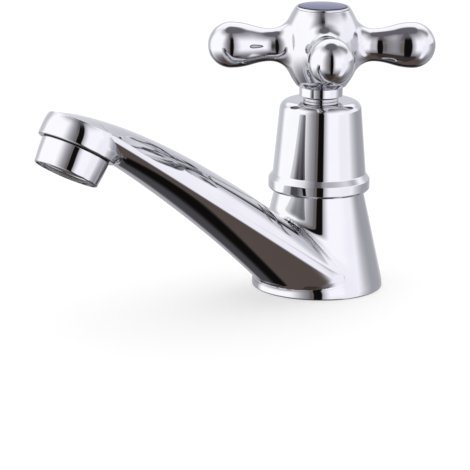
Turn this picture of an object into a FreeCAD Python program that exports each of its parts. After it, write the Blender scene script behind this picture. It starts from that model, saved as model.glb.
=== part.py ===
import FreeCAD, Part
import math
import os
import Sketcher

# A deck-mounted basin tap: a cast pillar with a broad spout, a quarter-turn ceramic valve under a bell-shaped
# shroud, a cross handle and a screwed-in aerator. The tap axis is Z, the deck is Z = 0, the spout points to -Y.

doc = FreeCAD.newDocument("basin_tap")
sheet = doc.addObject("Spreadsheet::Sheet", "Sizes")

# Driving sizes in millimetres and degrees: name, value, meaning
SIZES = (
    # Foot and pillar of the casting
    ("base_radius", 23.5, "outer radius of the foot"),
    ("foot_height", 2.4, "height of the upright rim of the foot"),
    ("foot_edge_width", 0.5, "bevel on the lower edge of the foot"),
    ("pillar_foot_radius", 23.35, "radius of the pillar's cone above the foot rim"),
    ("pillar_top_radius", 15.9, "radius of the pillar's cone at its top"),
    ("pillar_height", 35.6, "height of the pillar's top face"),
    ("seal_groove_margin_width", 4.4, "width of the foot outside the deck seal's groove"),
    ("seal_groove_width", 3.6, "width of the deck seal's groove"),
    ("seal_groove_depth", 2.2, "depth of the deck seal's groove"),
    ("inlet_radius", 9.3, "wall radius of the inlet's half-inch pipe thread"),
    ("inlet_depth", 8.5, "depth of the inlet socket"),
    ("seat_thickness", 2.0, "thickness of the valve seat's floor"),
    ("seat_port_radius", 5.6, "radius of the port through the seat"),
    ("chamber_radius", 11.2, "radius of the chamber round the valve"),
    ("valve_thread_radius", 10.2, "wall radius of the thread that holds the valve"),
    ("valve_recess_radius", 12.2, "radius of the O-ring's recess in the pillar's top"),
    ("valve_recess_depth", 1.6, "depth of the O-ring's recess"),
    # Spout and nose of the casting
    ("spout_reach", 111.7, "distance from the tap axis to the centre of the nose rim"),
    ("nose_rim_height", 65.3, "height of the centre of the nose rim"),
    ("nose_tilt", 29.8, "tilt of the nose away from plumb, in degrees"),
    ("nose_radius", 13.8, "outer radius of the nose"),
    ("nose_side_height", 7.0, "straight side of the nose, from its rim"),
    ("nose_top_tilt", 27.5, "tilt of the nose's crowned top, in degrees"),
    ("nose_edge_radius", 12.6, "radius where the rounded edge meets the crown"),
    ("nose_edge_height", 1.4, "height of that circle above the straight side"),
    ("nose_crown_height", 4.4, "height of the crown above the straight side"),
    ("nose_edge_skirt_width", 0.5, "how far the rounded edge is drawn out past the nose"),
    ("nose_station_height", 7.0, "height above the rim of the last spout section's sides"),
    ("nose_tuck_depth", 0.15, "how far the last spout section lies inside the nose"),
    ("spout_root_half_width", 23.0, "half width of the spout at the tap axis"),
    ("spout_wall_thickness", 2.6, "wall of the hollow spout"),
    ("nose_thread_depth", 6.4, "depth of the aerator's socket"),
    ("nose_chamber_radius", 9.6, "radius of the space above the aerator"),
    ("nose_chamber_height", 8.0, "height of that space above the rim"),
    ("waterway_start_distance", 8.0, "distance of the waterway's start from the tap axis"),
    ("waterway_start_height", 4.5, "height of the waterway's start above the seat"),
    ("waterway_end_height", 7.6, "height above the nose rim where the waterway ends"),
    ("waterway_root_radius", 4.0, "radius of the waterway at the valve"),
    ("waterway_nose_radius", 2.6, "radius of the waterway at the nose"),
    # Valve
    ("running_gap", 0.05, "radial clearance of turning fits"),
    ("thread_gap", 0.1, "radial clearance of screwed fits"),
    ("seat_seal_height", 2.7, "height of the seat seal"),
    ("disc_thickness", 3.2, "thickness of each ceramic disc"),
    ("drive_plate_height", 4.4, "height of the spindle's drive plate"),
    ("drive_plate_radius", 7.6, "radius of the drive plate"),
    ("thrust_thickness", 1.0, "thickness of the thrust washer"),
    ("barrel_radius", 9.5, "outer radius of the valve's barrel"),
    ("barrel_wall_thickness", 1.4, "wall of the barrel"),
    ("barrel_lift_height", 0.7, "height of the barrel's end above the seat"),
    ("window_width", 9.0, "width of the barrel's two windows"),
    ("window_margin_width", 0.4, "distance of the windows from the drive plate's faces"),
    ("valve_collar_radius", 13.0, "radius of the collar under the hexagon"),
    ("valve_collar_height", 1.6, "height of that collar"),
    ("hex_width", 23.0, "width of the hexagon across its flats"),
    ("hex_height", 6.8, "height of the hexagon"),
    ("bonnet_radius", 8.0, "radius of the bonnet above the hexagon"),
    ("bonnet_height", 10.0, "height of the bonnet"),
    ("bonnet_roof_thickness", 1.5, "thickness of the bonnet over the wide bore"),
    ("neck_radius", 5.2, "radius of the threaded neck"),
    ("neck_proud_height", 0.1, "how far the neck stands above the shroud ring"),
    ("spindle_radius", 4.5, "radius of the spindle in the wide bore"),
    ("spindle_neck_radius", 3.7, "radius of the spindle in the neck"),
    ("spindle_step_gap", 0.7, "space above the spindle's shoulder"),
    ("spline_count", 20, "number of spline grooves"),
    ("spline_width", 0.55, "width of a spline groove"),
    ("spline_depth", 0.4, "depth of a spline groove"),
    ("tang_width", 4.0, "width of the drive tang"),
    ("tang_length", 12.0, "length of the drive tang"),
    ("tang_depth", 1.5, "depth of the drive tang"),
    ("tang_gap", 0.1, "clearance round the drive tang"),
    ("notch_radius", 2.3, "radius of the drive plate's water notches"),
    ("disc_gap", 0.1, "radial clearance of the ceramic discs"),
    ("port_radius", 2.2, "radius of each disc's two ports"),
    ("port_offset", 5.0, "distance of the ports from the tap axis"),
    ("seat_seal_bore_radius", 7.3, "inner radius of the seat seal"),
    ("o_ring_thickness", 1.2, "thickness of the spindle's O-rings"),
    ("o_ring_gap", 0.02, "space between an O-ring and its groove's floor"),
    ("o_ring_groove_gap", 0.4, "how much wider a groove is than its O-ring"),
    ("valve_seal_thickness", 1.5, "thickness of the O-ring under the collar"),
    ("clip_thickness", 0.7, "thickness of the spindle's clip"),
    ("clip_lift_height", 0.35, "height of the clip above the neck"),
    ("clip_groove_radius", 3.0, "radius of the clip groove's floor"),
    ("clip_gap", 0.05, "clearance of the clip in its groove"),
    ("clip_radius", 5.0, "outer radius of the clip"),
    ("clip_mouth_width", 4.4, "width of the clip's opening"),
    # Shroud
    ("shroud_height", 32.4, "height of the shroud"),
    ("flange_radius", 18.2, "outer radius of the shroud's flange"),
    ("flange_foot_radius", 17.4, "radius of the flange's lower face"),
    ("flange_bevel_height", 0.8, "height of the flange's lower bevel"),
    ("flange_height", 4.1, "height of the top of the flange's upright face"),
    ("flange_slope_height", 2.1, "height of the sloping top of the flange"),
    ("shroud_foot_radius", 16.75, "radius of the bell just above the flange"),
    ("shroud_shoulder_radius", 14.75, "radius of the bell below its rounded top"),
    ("shroud_shoulder_height", 3.5, "height of the rounded top"),
    ("shroud_top_radius", 11.4, "radius of the bell's flat top"),
    ("shroud_wall_thickness", 1.8, "wall of the bell"),
    ("shroud_roof_thickness", 2.6, "thickness of the bell's top"),
    ("shroud_foot_width", 2.8, "width of the shroud's lower face"),
    ("shroud_gap", 0.25, "clearance between the shroud and the neck"),
    ("ring_radius", 6.3, "outer radius of the shroud ring"),
    ("ring_height", 1.2, "height of the shroud ring"),
    ("ring_bevel_width", 0.4, "bevel of the shroud ring"),
    # Handle, all heights from the handle's lower edge
    ("handle_gap", 0.25, "space between the neck and the handle's lower edge"),
    ("handle_angle", 52.3, "bearing of an arm from +X with the valve closed, in degrees"),
    ("collar_radius", 7.8, "radius of the collar under the hub"),
    ("collar_height", 3.4, "height of the collar"),
    ("hub_foot_radius", 8.9, "radius of the hub just above the collar"),
    ("hub_foot_height", 3.85, "height of that circle"),
    ("hub_belly_radius", 13.95, "largest radius of the hub"),
    ("hub_belly_height", 17.75, "height of the largest radius"),
    ("hub_rim_radius", 10.0, "radius of the hub's top"),
    ("hub_height", 31.45, "height of the hub's top"),
    ("arm_height", 18.3, "height of the arms' axis"),
    ("arm_root_distance", 8.6, "distance of the arm's root from the tap axis"),
    ("arm_flare_radius", 7.4, "radius of the hollow where an arm leaves the hub"),
    ("arm_waist_distance", 18.6, "distance of the arm's waist from the tap axis"),
    ("arm_waist_radius", 5.85, "radius of the waist"),
    ("arm_club_distance", 25.4, "distance where the club starts to swell"),
    ("arm_club_radius", 7.15, "radius of the club there"),
    ("arm_ball_distance", 32.4, "distance of the ball's centre"),
    ("arm_ball_radius", 8.2, "radius of the ball end"),
    ("clip_recess_radius", 6.2, "radius of the collar's recess round the clip"),
    ("clip_recess_depth", 2.8, "depth of that recess"),
    ("socket_radius", 3.75, "radius of the spline socket"),
    ("socket_height", 16.9, "height of the top of the spline socket"),
    ("spindle_end_gap", 0.45, "how far the spindle ends below the socket's top"),
    ("screw_seat_height", 20.5, "height of the screw head's seat"),
    ("screw_well_radius", 4.8, "radius of the well round the screw head"),
    ("screw_radius", 2.0, "radius of the screw"),
    ("screw_gap", 0.15, "clearance of the screw in the hub"),
    ("screw_length", 13.0, "length of the screw below its head"),
    ("screw_hole_spare_depth", 1.0, "how much deeper the spindle's hole is than the screw"),
    ("screw_head_radius", 4.0, "radius of the screw's head"),
    ("screw_head_height", 2.6, "height of the screw's head"),
    ("screw_slot_width", 1.0, "width of the screw's slot"),
    ("screw_slot_depth", 1.2, "depth of the screw's slot"),
    ("cap_recess_radius", 8.3, "radius of the recess in the hub's top"),
    ("cap_recess_depth", 4.2, "depth of that recess"),
    ("cap_gap", 0.05, "clearance of the index cap in its recess"),
    ("cap_plug_depth", 3.6, "depth of the index cap's plug"),
    ("cap_plug_wall_thickness", 1.4, "wall of the plug"),
    ("cap_rim_radius", 9.7, "outer radius of the index cap's rim"),
    ("cap_rim_height", 1.0, "height of the rim above the hub"),
    ("cap_rim_edge_width", 0.35, "bevel of the rim"),
    ("index_radius", 8.75, "radius of the index disc"),
    ("index_thickness", 0.8, "thickness of the index disc at its edge"),
    ("index_dome_height", 0.35, "rise of the index disc's middle"),
    # Aerator, all heights from the nose rim along the nose axis
    ("aerator_radius", 12.0, "largest radius of the aerator housing"),
    ("aerator_mouth_radius", 11.5, "radius of the housing near its mouth"),
    ("aerator_drop_height", 9.2, "how far the housing reaches below the nose rim"),
    ("aerator_edge_width", 0.5, "bevel round the mouth"),
    ("aerator_line_gap", 0.3, "gap that shows between the nose and the housing"),
    ("aerator_thread_height", 5.0, "height of the housing's thread"),
    ("aerator_bore_radius", 10.5, "inner radius of the housing"),
    ("aerator_mouth_bore_radius", 10.7, "radius of the mouth's opening"),
    ("aerator_recess_depth", 1.6, "how far the ledge lies inside the mouth"),
    ("aerator_ledge_radius", 9.9, "inner radius of the ledge that carries the cassette"),
    ("aerator_ledge_thickness", 0.8, "thickness of that ledge"),
    ("insert_gap", 0.1, "clearance of the plastic pieces in the housing"),
    ("cassette_height", 5.8, "height of the cassette"),
    ("cassette_wall_thickness", 1.4, "wall of the cassette"),
    ("cassette_ledge_width", 0.8, "width of the ledge under the mesh"),
    ("cassette_foot_thickness", 0.7, "thickness of that ledge"),
    ("mesh_thickness", 0.6, "thickness of the mesh disc"),
    ("insert_rim_thickness", 1.5, "wall of the jet former's rim"),
    ("insert_floor_thickness", 1.3, "thickness of the jet former's dome"),
    ("insert_spring_depth", 2.4, "height of the rim above the dome's foot"),
    ("insert_dome_height", 2.6, "rise of the dome above its foot"),
    ("jet_count", 24, "number of jet slots"),
    ("jet_radius", 0.45, "radius of a jet slot"),
    ("jet_circle_radius", 6.6, "radius of the ring of jet slots"),
    ("washer_bore_radius", 9.7, "inner radius of the aerator's washer"),
    # One overrun serves all cuts
    ("overrun_length", 2.0, "how far a cut runs past what it cuts"),
)

# Sections of the spout from the tap axis to the nose, as shares: of the run to the nose, of the rise of the
# sides, and, for the crown above and the belly below the sides, of the half width at the root
SPOUT_RUN_SHARES = (0, 0.1855, 0.4174, 0.6494, 0.8534, 1)
SPOUT_RISE_SHARES = (0.0231, 0.2071, 0.4374, 0.6644, 0.8607, 1)
SPOUT_CROWN_SHARES = (0.448, 0.561, 0.597, 0.528, 0.380, 0.198)
SPOUT_BELLY_SHARES = (0.878, 0.624, 0.400, 0.271, 0.235, 0.258)
SPOUT_SHOULDER_SHARES = (0.22, 0.216, 0.199, 0.169, 0.133, 0.1)
CORE_SHOULDER_SHARES = (0.16, 0.16, 0.15, 0.14, 0.12, 0.1)
# A rounded corner passes through this share of its two sides
ROUND_SHARE = 0.707
# Height of the two spindle O-rings between the thrust washer and the spindle's shoulder
O_RING_HEIGHT_SHARES = (0.5, 0.8)
# Half way along, an arm's neck and its club have gained these shares of their growth in radius
NECK_GAIN_SHARE = 0.25
CLUB_GAIN_SHARE = 0.78
HALF_SHARE = 0.5

for row, (alias, number, meaning) in enumerate(SIZES, start=1):
    sheet.set(f"A{row}", alias)
    sheet.set(f"B{row}", str(number))
    sheet.set(f"C{row}", meaning)
    sheet.setAlias(f"B{row}", alias)
doc.recompute()


class Size:
    """A value with the sheet formula that gives it. Sums and products keep the two in step."""

    def __init__(self, value, formula):
        self.value = value
        self.formula = formula

    def joined(self, other, sign, value):
        other_formula = other.formula if isinstance(other, Size) else repr(other)
        return Size(value, f"({self.formula} {sign} {other_formula})")

    def __add__(self, other):
        return self.joined(other, "+", self.value + plain(other))

    def __sub__(self, other):
        return self.joined(other, "-", self.value - plain(other))

    def __mul__(self, other):
        return self.joined(other, "*", self.value * plain(other))

    def __truediv__(self, other):
        return self.joined(other, "/", self.value / plain(other))

    def __neg__(self):
        return Size(-self.value, f"(-1 * {self.formula})")


def plain(amount):
    """The number behind a size, or the number itself."""
    return amount.value if isinstance(amount, Size) else amount


def size(alias):
    return Size(float(sheet.get(alias)), f"Sizes.{alias}")


def sine(angle):
    return Size(math.sin(math.radians(angle.value)), f"sin({angle.formula} * 1 deg)")


def cosine(angle):
    return Size(math.cos(math.radians(angle.value)), f"cos({angle.formula} * 1 deg)")


def span(across, up):
    """Length of the slope with the given legs."""
    formula = f"sqrt(({across.formula}) ^ 2 + ({up.formula}) ^ 2)"
    return Size(math.hypot(across.value, up.value), formula)


def slope_angle(across, up):
    """Angle of the slope from plumb, in degrees."""
    formula = f"(atan2({across.formula}; {up.formula}) / 1 deg)"
    return Size(math.degrees(math.atan2(across.value, up.value)), formula)


def bind(thing, prop, amount):
    thing.setExpression(prop, amount.formula)


def new_body(label):
    body = doc.addObject("PartDesign::Body", label)
    body.Label = label
    return body


def new_sketch(body, name, role, along=None, frame=None):
    """An empty sketch on one of the body's own planes, shifted along its normal or put in a turned frame."""
    sketch = body.newObject("Sketcher::SketchObject", name)
    plane = [item for item in body.Origin.OriginFeatures if item.Role == role][0]
    sketch.AttachmentSupport = [(plane, "")]
    sketch.MapMode = "FlatFace"
    if along is not None:
        sketch.AttachmentOffset = FreeCAD.Placement(FreeCAD.Vector(0, 0, along.value), FreeCAD.Rotation())
        bind(sketch, "AttachmentOffset.Base.z", along)
    if frame is not None:
        across, up, turn, sense = frame
        axis = FreeCAD.Vector(0, 0, sense)
        base = FreeCAD.Vector(across.value, up.value, 0)
        sketch.AttachmentOffset = FreeCAD.Placement(base, FreeCAD.Rotation(axis, turn.value))
        bind(sketch, "AttachmentOffset.Base.x", across)
        bind(sketch, "AttachmentOffset.Base.y", up)
        bind(sketch, "AttachmentOffset.Rotation.Angle", turn)
    return sketch


def constrain(sketch, *words, amount=None):
    """Adds a constraint and, where it has an amount, binds it to the sheet."""
    if amount is None:
        return sketch.addConstraint(Sketcher.Constraint(*words))
    index = sketch.addConstraint(Sketcher.Constraint(*words, amount.value))
    bind(sketch, f"Constraints[{index}]", amount)
    return index


def pin(sketch, geo, pos, point):
    """Holds one point of a sketch at its two sizes. A plain zero puts it on the sketch's axis."""
    across, up = point
    if plain(across) == 0 and plain(up) == 0:
        constrain(sketch, "Coincident", geo, pos, -1, 1)
        return
    for amount, word, axis in ((across, "DistanceX", -2), (up, "DistanceY", -1)):
        if plain(amount) == 0:
            constrain(sketch, "PointOnObject", geo, pos, axis)
        else:
            constrain(sketch, word, -1, 1, geo, pos, amount=amount)


def vector(point):
    return FreeCAD.Vector(plain(point[0]), plain(point[1]), 0)


def trace(sketch, steps):
    """Closed outline through the steps. A step of two sizes is a straight run to that point, a step of four
    sizes is an arc through the first point to the second, and a step that starts with the word dome is an
    arc about a centre on the turning axis, which it meets at one end."""
    corners = [step[-2:] for step in steps]
    count = len(steps)
    pieces = []
    for index in range(count):
        start = vector(corners[index])
        step = steps[(index + 1) % count]
        end = vector(step[-2:])
        if len(step) == 2:
            geo = sketch.addGeometry(Part.LineSegment(start, end))
            pieces.append((geo, 1, 2))
            continue
        via = dome_point(start, end) if step[0] == "dome" else vector(step[:2])
        geo = sketch.addGeometry(Part.Arc(start, via, end))
        # An arc runs anticlockwise in a sketch, so a clockwise one has its ends exchanged
        anticlockwise = (end - start).cross(via - start).z < 0
        pieces.append((geo, 1, 2) if anticlockwise else (geo, 2, 1))
        if step[0] == "dome":
            constrain(sketch, "PointOnObject", geo, 3, -1 if start.y * end.y == 0 else -2)
            continue
        dot = sketch.addGeometry(Part.Point(via), True)
        pin(sketch, dot, 1, step[:2])
        constrain(sketch, "PointOnObject", dot, 1, geo)
    for index in range(count):
        geo, first, last = pieces[index]
        after, after_first, after_last = pieces[(index + 1) % count]
        constrain(sketch, "Coincident", geo, last, after, after_first)
        pin(sketch, geo, first, corners[index])


def dome_point(start, end):
    """A point half way round an arc whose centre is on the axis that one of its ends is on."""
    chord = end - start
    along = FreeCAD.Vector(1, 0, 0) if start.y * end.y == 0 else FreeCAD.Vector(0, 1, 0)
    tip, other = (end, start) if end.dot(end) == end.dot(along) ** 2 else (start, end)
    rise = (tip - other).dot(along)
    reach = math.sqrt(chord.dot(chord) - rise ** 2)
    radius = (reach ** 2 + rise ** 2) / (2 * rise)
    centre = tip - along * radius
    middle = (start + end) * 0.5 - centre
    return centre + middle.normalize() * abs(radius)


def ring_outline(sketch, radius, centre=(0, 0)):
    """A circle of the given radius."""
    geo = sketch.addGeometry(Part.Circle(vector(centre), FreeCAD.Vector(0, 0, 1), radius.value))
    constrain(sketch, "Radius", geo, amount=radius)
    pin(sketch, geo, 3, centre)


def revolve(body, name, steps, kind="Revolution", role="XZ_Plane", axis="V_Axis", frame=None):
    """A turned solid, or with kind Groove a turned cut, from an outline on an upright plane."""
    sketch = new_sketch(body, name + "_outline", role, frame=frame)
    trace(sketch, steps)
    turned = body.newObject("PartDesign::" + kind, name)
    turned.Profile = sketch
    turned.ReferenceAxis = (sketch, [axis])
    turned.Angle = 360
    return turned


def extrude(body, name, sketch, length, kind="Pad", reversed_way=False, both_ways=False):
    """A pad or pocket of a sketch."""
    item = body.newObject("PartDesign::" + kind, name)
    item.Profile = sketch
    item.Length = length.value
    bind(item, "Length", length)
    item.Reversed = reversed_way
    item.Midplane = both_ways
    return item


def polar(body, name, feature, count, axis_sketch):
    """Copies of a feature, evenly spaced round the body's upright axis."""
    pattern = body.newObject("PartDesign::PolarPattern", name)
    pattern.Originals = [feature]
    pattern.Axis = (axis_sketch, ["N_Axis"])
    pattern.Angle = 360
    pattern.Occurrences = int(count.value)
    bind(pattern, "Occurrences", count)
    body.Tip = pattern
    return pattern


def rectangle(centre_across, half_width, low, high):
    """Corners of a rectangle, from its middle, half width and lower and upper edges."""
    if plain(centre_across) == 0:
        left, right = -half_width, half_width
    else:
        left, right = centre_across - half_width, centre_across + half_width
    return [(left, low), (right, low), (right, high), (left, high)]


# Heights and radii that several pieces share
seal_groove_outer = size("base_radius") - size("seal_groove_margin_width")
seal_groove_inner = seal_groove_outer - size("seal_groove_width")
seat_height = size("inlet_depth") + size("seat_thickness")
fixed_disc_height = seat_height + size("seat_seal_height")
moving_disc_height = fixed_disc_height + size("disc_thickness")
drive_plate_foot = moving_disc_height + size("disc_thickness")
drive_plate_top = drive_plate_foot + size("drive_plate_height")
valve_shoulder = drive_plate_top + size("thrust_thickness")
pillar_top = size("pillar_height")
hex_foot = pillar_top + size("valve_collar_height")
hex_top = hex_foot + size("hex_height")
bonnet_top = hex_top + size("bonnet_height")
bore_step = bonnet_top - size("bonnet_roof_thickness")
spindle_shoulder = bore_step - size("spindle_step_gap")
shroud_top = pillar_top + size("shroud_height")
ring_top = shroud_top + size("ring_height")
neck_top = ring_top + size("neck_proud_height")
clip_foot = neck_top + size("clip_lift_height")
clip_top = clip_foot + size("clip_thickness")
handle_foot = neck_top + size("handle_gap")
spindle_top = handle_foot + size("socket_height") - size("spindle_end_gap")
barrel_bore = size("barrel_radius") - size("barrel_wall_thickness")
spindle_bore = size("spindle_radius") + size("running_gap")
neck_bore = size("spindle_neck_radius") + size("running_gap")
screw_seat = handle_foot + size("screw_seat_height")
screw_foot = screw_seat - size("screw_length")
hub_top = handle_foot + size("hub_height")

# The nose frame: its origin is the centre of the nose rim and its axis leans back towards the pillar
tilt = size("nose_tilt")
nose_frame = (-size("spout_reach"), size("nose_rim_height"), tilt, -1)


def along_nose(height):
    """Distance from the tap axis and height above the deck of a point on the nose axis."""
    return size("spout_reach") - height * sine(tilt), size("nose_rim_height") + height * cosine(tilt)


def put_in_nose(body):
    """Stands a body that was built round its own upright axis on the nose axis."""
    base = FreeCAD.Vector(0, -size("spout_reach").value, size("nose_rim_height").value)
    body.Placement = FreeCAD.Placement(base, FreeCAD.Rotation(FreeCAD.Vector(-1, 0, 0), tilt.value))
    bind(body, "Placement.Base.y", -size("spout_reach"))
    bind(body, "Placement.Base.z", size("nose_rim_height"))
    bind(body, "Placement.Rotation.Angle", tilt)


def put_in_handle(body):
    """Turns a body about the tap axis to the handle's bearing with the valve closed."""
    turn = size("handle_angle")
    body.Placement = FreeCAD.Placement(FreeCAD.Vector(), FreeCAD.Rotation(FreeCAD.Vector(0, 0, 1), turn.value))
    bind(body, "Placement.Rotation.Angle", turn)


def spout_section(body, name, run, side_height, half_width, crown, belly, shoulder):
    """Upright section of the spout: a crowned top and a rounded belly that meet in round shoulders.
    The top arc and the belly arc each touch both shoulder circles from inside."""
    sketch = new_sketch(body, name, "XZ_Plane", along=run)
    centre_across = half_width - shoulder
    arcs = {}
    for part, tip, sign in (("top", side_height + crown, 1), ("belly", side_height - belly, -1)):
        inner_tip = tip.value - sign * shoulder.value
        drop = inner_tip ** 2 - side_height.value ** 2 - centre_across.value ** 2
        middle = drop / (2 * (inner_tip - side_height.value))
        radius = sign * (tip.value - middle)
        arcs[part] = (tip, middle, radius)
    ends = {}
    for part, (tip, middle, radius) in arcs.items():
        reach = FreeCAD.Vector(centre_across.value, side_height.value - middle, 0)
        ends[part] = FreeCAD.Vector(0, middle, 0) + reach.normalize() * radius

    def mirrored(point):
        return FreeCAD.Vector(-point.x, point.y, 0)

    side = FreeCAD.Vector(half_width.value, side_height.value, 0)
    top_tip = FreeCAD.Vector(0, arcs["top"][0].value, 0)
    belly_tip = FreeCAD.Vector(0, arcs["belly"][0].value, 0)
    top = sketch.addGeometry(Part.Arc(ends["top"], top_tip, mirrored(ends["top"])))
    left = sketch.addGeometry(Part.Arc(mirrored(ends["top"]), mirrored(side), mirrored(ends["belly"])))
    under = sketch.addGeometry(Part.Arc(mirrored(ends["belly"]), belly_tip, ends["belly"]))
    right = sketch.addGeometry(Part.Arc(ends["belly"], side, ends["top"]))
    for first, second in ((top, left), (left, under), (under, right), (right, top)):
        constrain(sketch, "Tangent", first, 2, second, 1)
    for geo, across in ((right, centre_across), (left, -centre_across)):
        pin(sketch, geo, 3, (across, side_height))
        constrain(sketch, "Radius", geo, amount=shoulder)
    for geo, tip in ((top, arcs["top"][0]), (under, arcs["belly"][0])):
        dot = sketch.addGeometry(Part.Point(FreeCAD.Vector(0, tip.value, 0)), True)
        pin(sketch, dot, 1, (0, tip))
        constrain(sketch, "PointOnObject", dot, 1, geo)
    return sketch


def spout_sections(body, name, first, last, wall, shoulder_shares):
    """Sections from station first to station last, each drawn in by the wall."""
    root = size("spout_root_half_width")
    nose_half_width = size("nose_radius") - size("nose_tuck_depth")
    run_end, rise_end = along_nose(size("nose_station_height"))
    sections = []
    for station in range(first, last + 1):
        run = run_end * SPOUT_RUN_SHARES[station]
        half_width = root + (nose_half_width - root) * SPOUT_RUN_SHARES[station]
        crown = root * SPOUT_CROWN_SHARES[station]
        belly = root * SPOUT_BELLY_SHARES[station]
        if wall is not None:
            half_width, crown, belly = half_width - wall, crown - wall, belly - wall
        sections.append(spout_section(
            body, f"{name}_{station}", run, rise_end * SPOUT_RISE_SHARES[station],
            half_width, crown, belly, half_width * shoulder_shares[station]))
    return sections


def make_casting():
    """Pillar, spout and nose in one casting, with the waterway from the seat to the aerator's socket."""
    body = new_body("body_casting")
    blank_top = size("nose_side_height") + size("nose_crown_height") + size("overrun_length")
    revolve(body, "nose", [
        (0, 0),
        (size("nose_radius"), 0),
        (size("nose_radius"), blank_top),
        (0, blank_top),
    ], role="YZ_Plane", frame=nose_frame)
    # The nose's top leans less than its rim, so it is turned about an axis of its own
    top_run, top_rise = along_nose(size("nose_side_height"))
    skirt = size("nose_radius") + size("nose_edge_skirt_width")
    outside = size("nose_radius") + size("overrun_length") * 2
    roof = size("nose_crown_height") + size("nose_radius")
    edge_width = skirt - size("nose_edge_radius")
    edge_rise = size("nose_edge_height") + size("nose_edge_skirt_width")
    revolve(body, "nose_top", [
        (size("nose_edge_radius") + edge_width * ROUND_SHARE,
         edge_rise * ROUND_SHARE - size("nose_edge_skirt_width"),
         size("nose_edge_radius"), size("nose_edge_height")),
        ("dome", 0, size("nose_crown_height")),
        (0, roof),
        (outside, roof),
        (outside, -size("nose_edge_skirt_width")),
        (skirt, -size("nose_edge_skirt_width")),
    ], kind="Groove", role="YZ_Plane", frame=(-top_run, top_rise, size("nose_top_tilt"), -1))
    outer = spout_sections(body, "spout_section", 0, len(SPOUT_RUN_SHARES) - 1, None, SPOUT_SHOULDER_SHARES)
    spout = body.newObject("PartDesign::AdditiveLoft", "spout")
    spout.Profile = outer[0]
    spout.Sections = outer[1:]
    # The first section dips below the deck inside the foot, and is cut level with it
    below = new_sketch(body, "below_deck_outline", "XY_Plane")
    ring_outline(below, size("spout_reach"))
    extrude(body, "below_deck", below, size("spout_root_half_width"), kind="Pocket")
    edge = size("foot_edge_width")
    revolve(body, "pillar", [
        (0, 0),
        (size("base_radius") - edge, 0),
        (size("base_radius"), edge),
        (size("base_radius"), size("foot_height") - edge),
        (size("pillar_foot_radius"), size("foot_height")),
        (size("pillar_top_radius"), pillar_top),
        (0, pillar_top),
    ])
    cores = spout_sections(body, "core_section", 1, len(SPOUT_RUN_SHARES) - 2, size("spout_wall_thickness"),
                           CORE_SHOULDER_SHARES)
    core = body.newObject("PartDesign::SubtractiveLoft", "spout_core")
    core.Profile = cores[0]
    core.Sections = cores[1:]
    run_end, rise_end = along_nose(size("waterway_end_height"))
    start_rise = seat_height + size("waterway_start_height")
    across = run_end - size("waterway_start_distance")
    up = rise_end - start_rise
    length = span(across, up)
    revolve(body, "waterway", [
        (0, 0),
        (size("waterway_root_radius"), 0),
        (size("waterway_nose_radius"), length),
        (0, length),
    ], kind="Groove", role="YZ_Plane",
        frame=(-size("waterway_start_distance"), start_rise, slope_angle(across, up), 1))
    revolve(body, "valve_socket", [
        (0, 0),
        (size("inlet_radius"), 0),
        (size("inlet_radius"), size("inlet_depth")),
        (size("seat_port_radius"), size("inlet_depth")),
        (size("seat_port_radius"), seat_height),
        (size("chamber_radius"), seat_height),
        (size("chamber_radius"), valve_shoulder),
        (size("valve_thread_radius"), valve_shoulder),
        (size("valve_thread_radius"), pillar_top - size("valve_recess_depth")),
        (size("valve_recess_radius"), pillar_top - size("valve_recess_depth")),
        (size("valve_recess_radius"), pillar_top),
        (0, pillar_top),
    ], kind="Groove")
    revolve(body, "seal_groove", [
        (seal_groove_inner, 0),
        (seal_groove_outer, 0),
        (seal_groove_outer, size("seal_groove_depth")),
        (seal_groove_inner, size("seal_groove_depth")),
    ], kind="Groove")
    revolve(body, "aerator_socket", [
        (0, 0),
        (size("aerator_radius") - size("aerator_line_gap"), 0),
        (size("aerator_radius") - size("aerator_line_gap"), size("nose_thread_depth")),
        (size("nose_chamber_radius"), size("nose_thread_depth")),
        (size("nose_chamber_radius"), size("nose_chamber_height")),
        (0, size("nose_chamber_height")),
    ], kind="Groove", role="YZ_Plane", frame=nose_frame)
    return body


def make_base_seal():
    """Flat rubber ring that fills the groove under the foot."""
    body = new_body("base_seal")
    inner = seal_groove_inner + size("thread_gap")
    outer = seal_groove_outer - size("thread_gap")
    revolve(body, "seal_ring", [
        (inner, 0), (outer, 0), (outer, size("seal_groove_depth")), (inner, size("seal_groove_depth"))])
    return body


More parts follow.
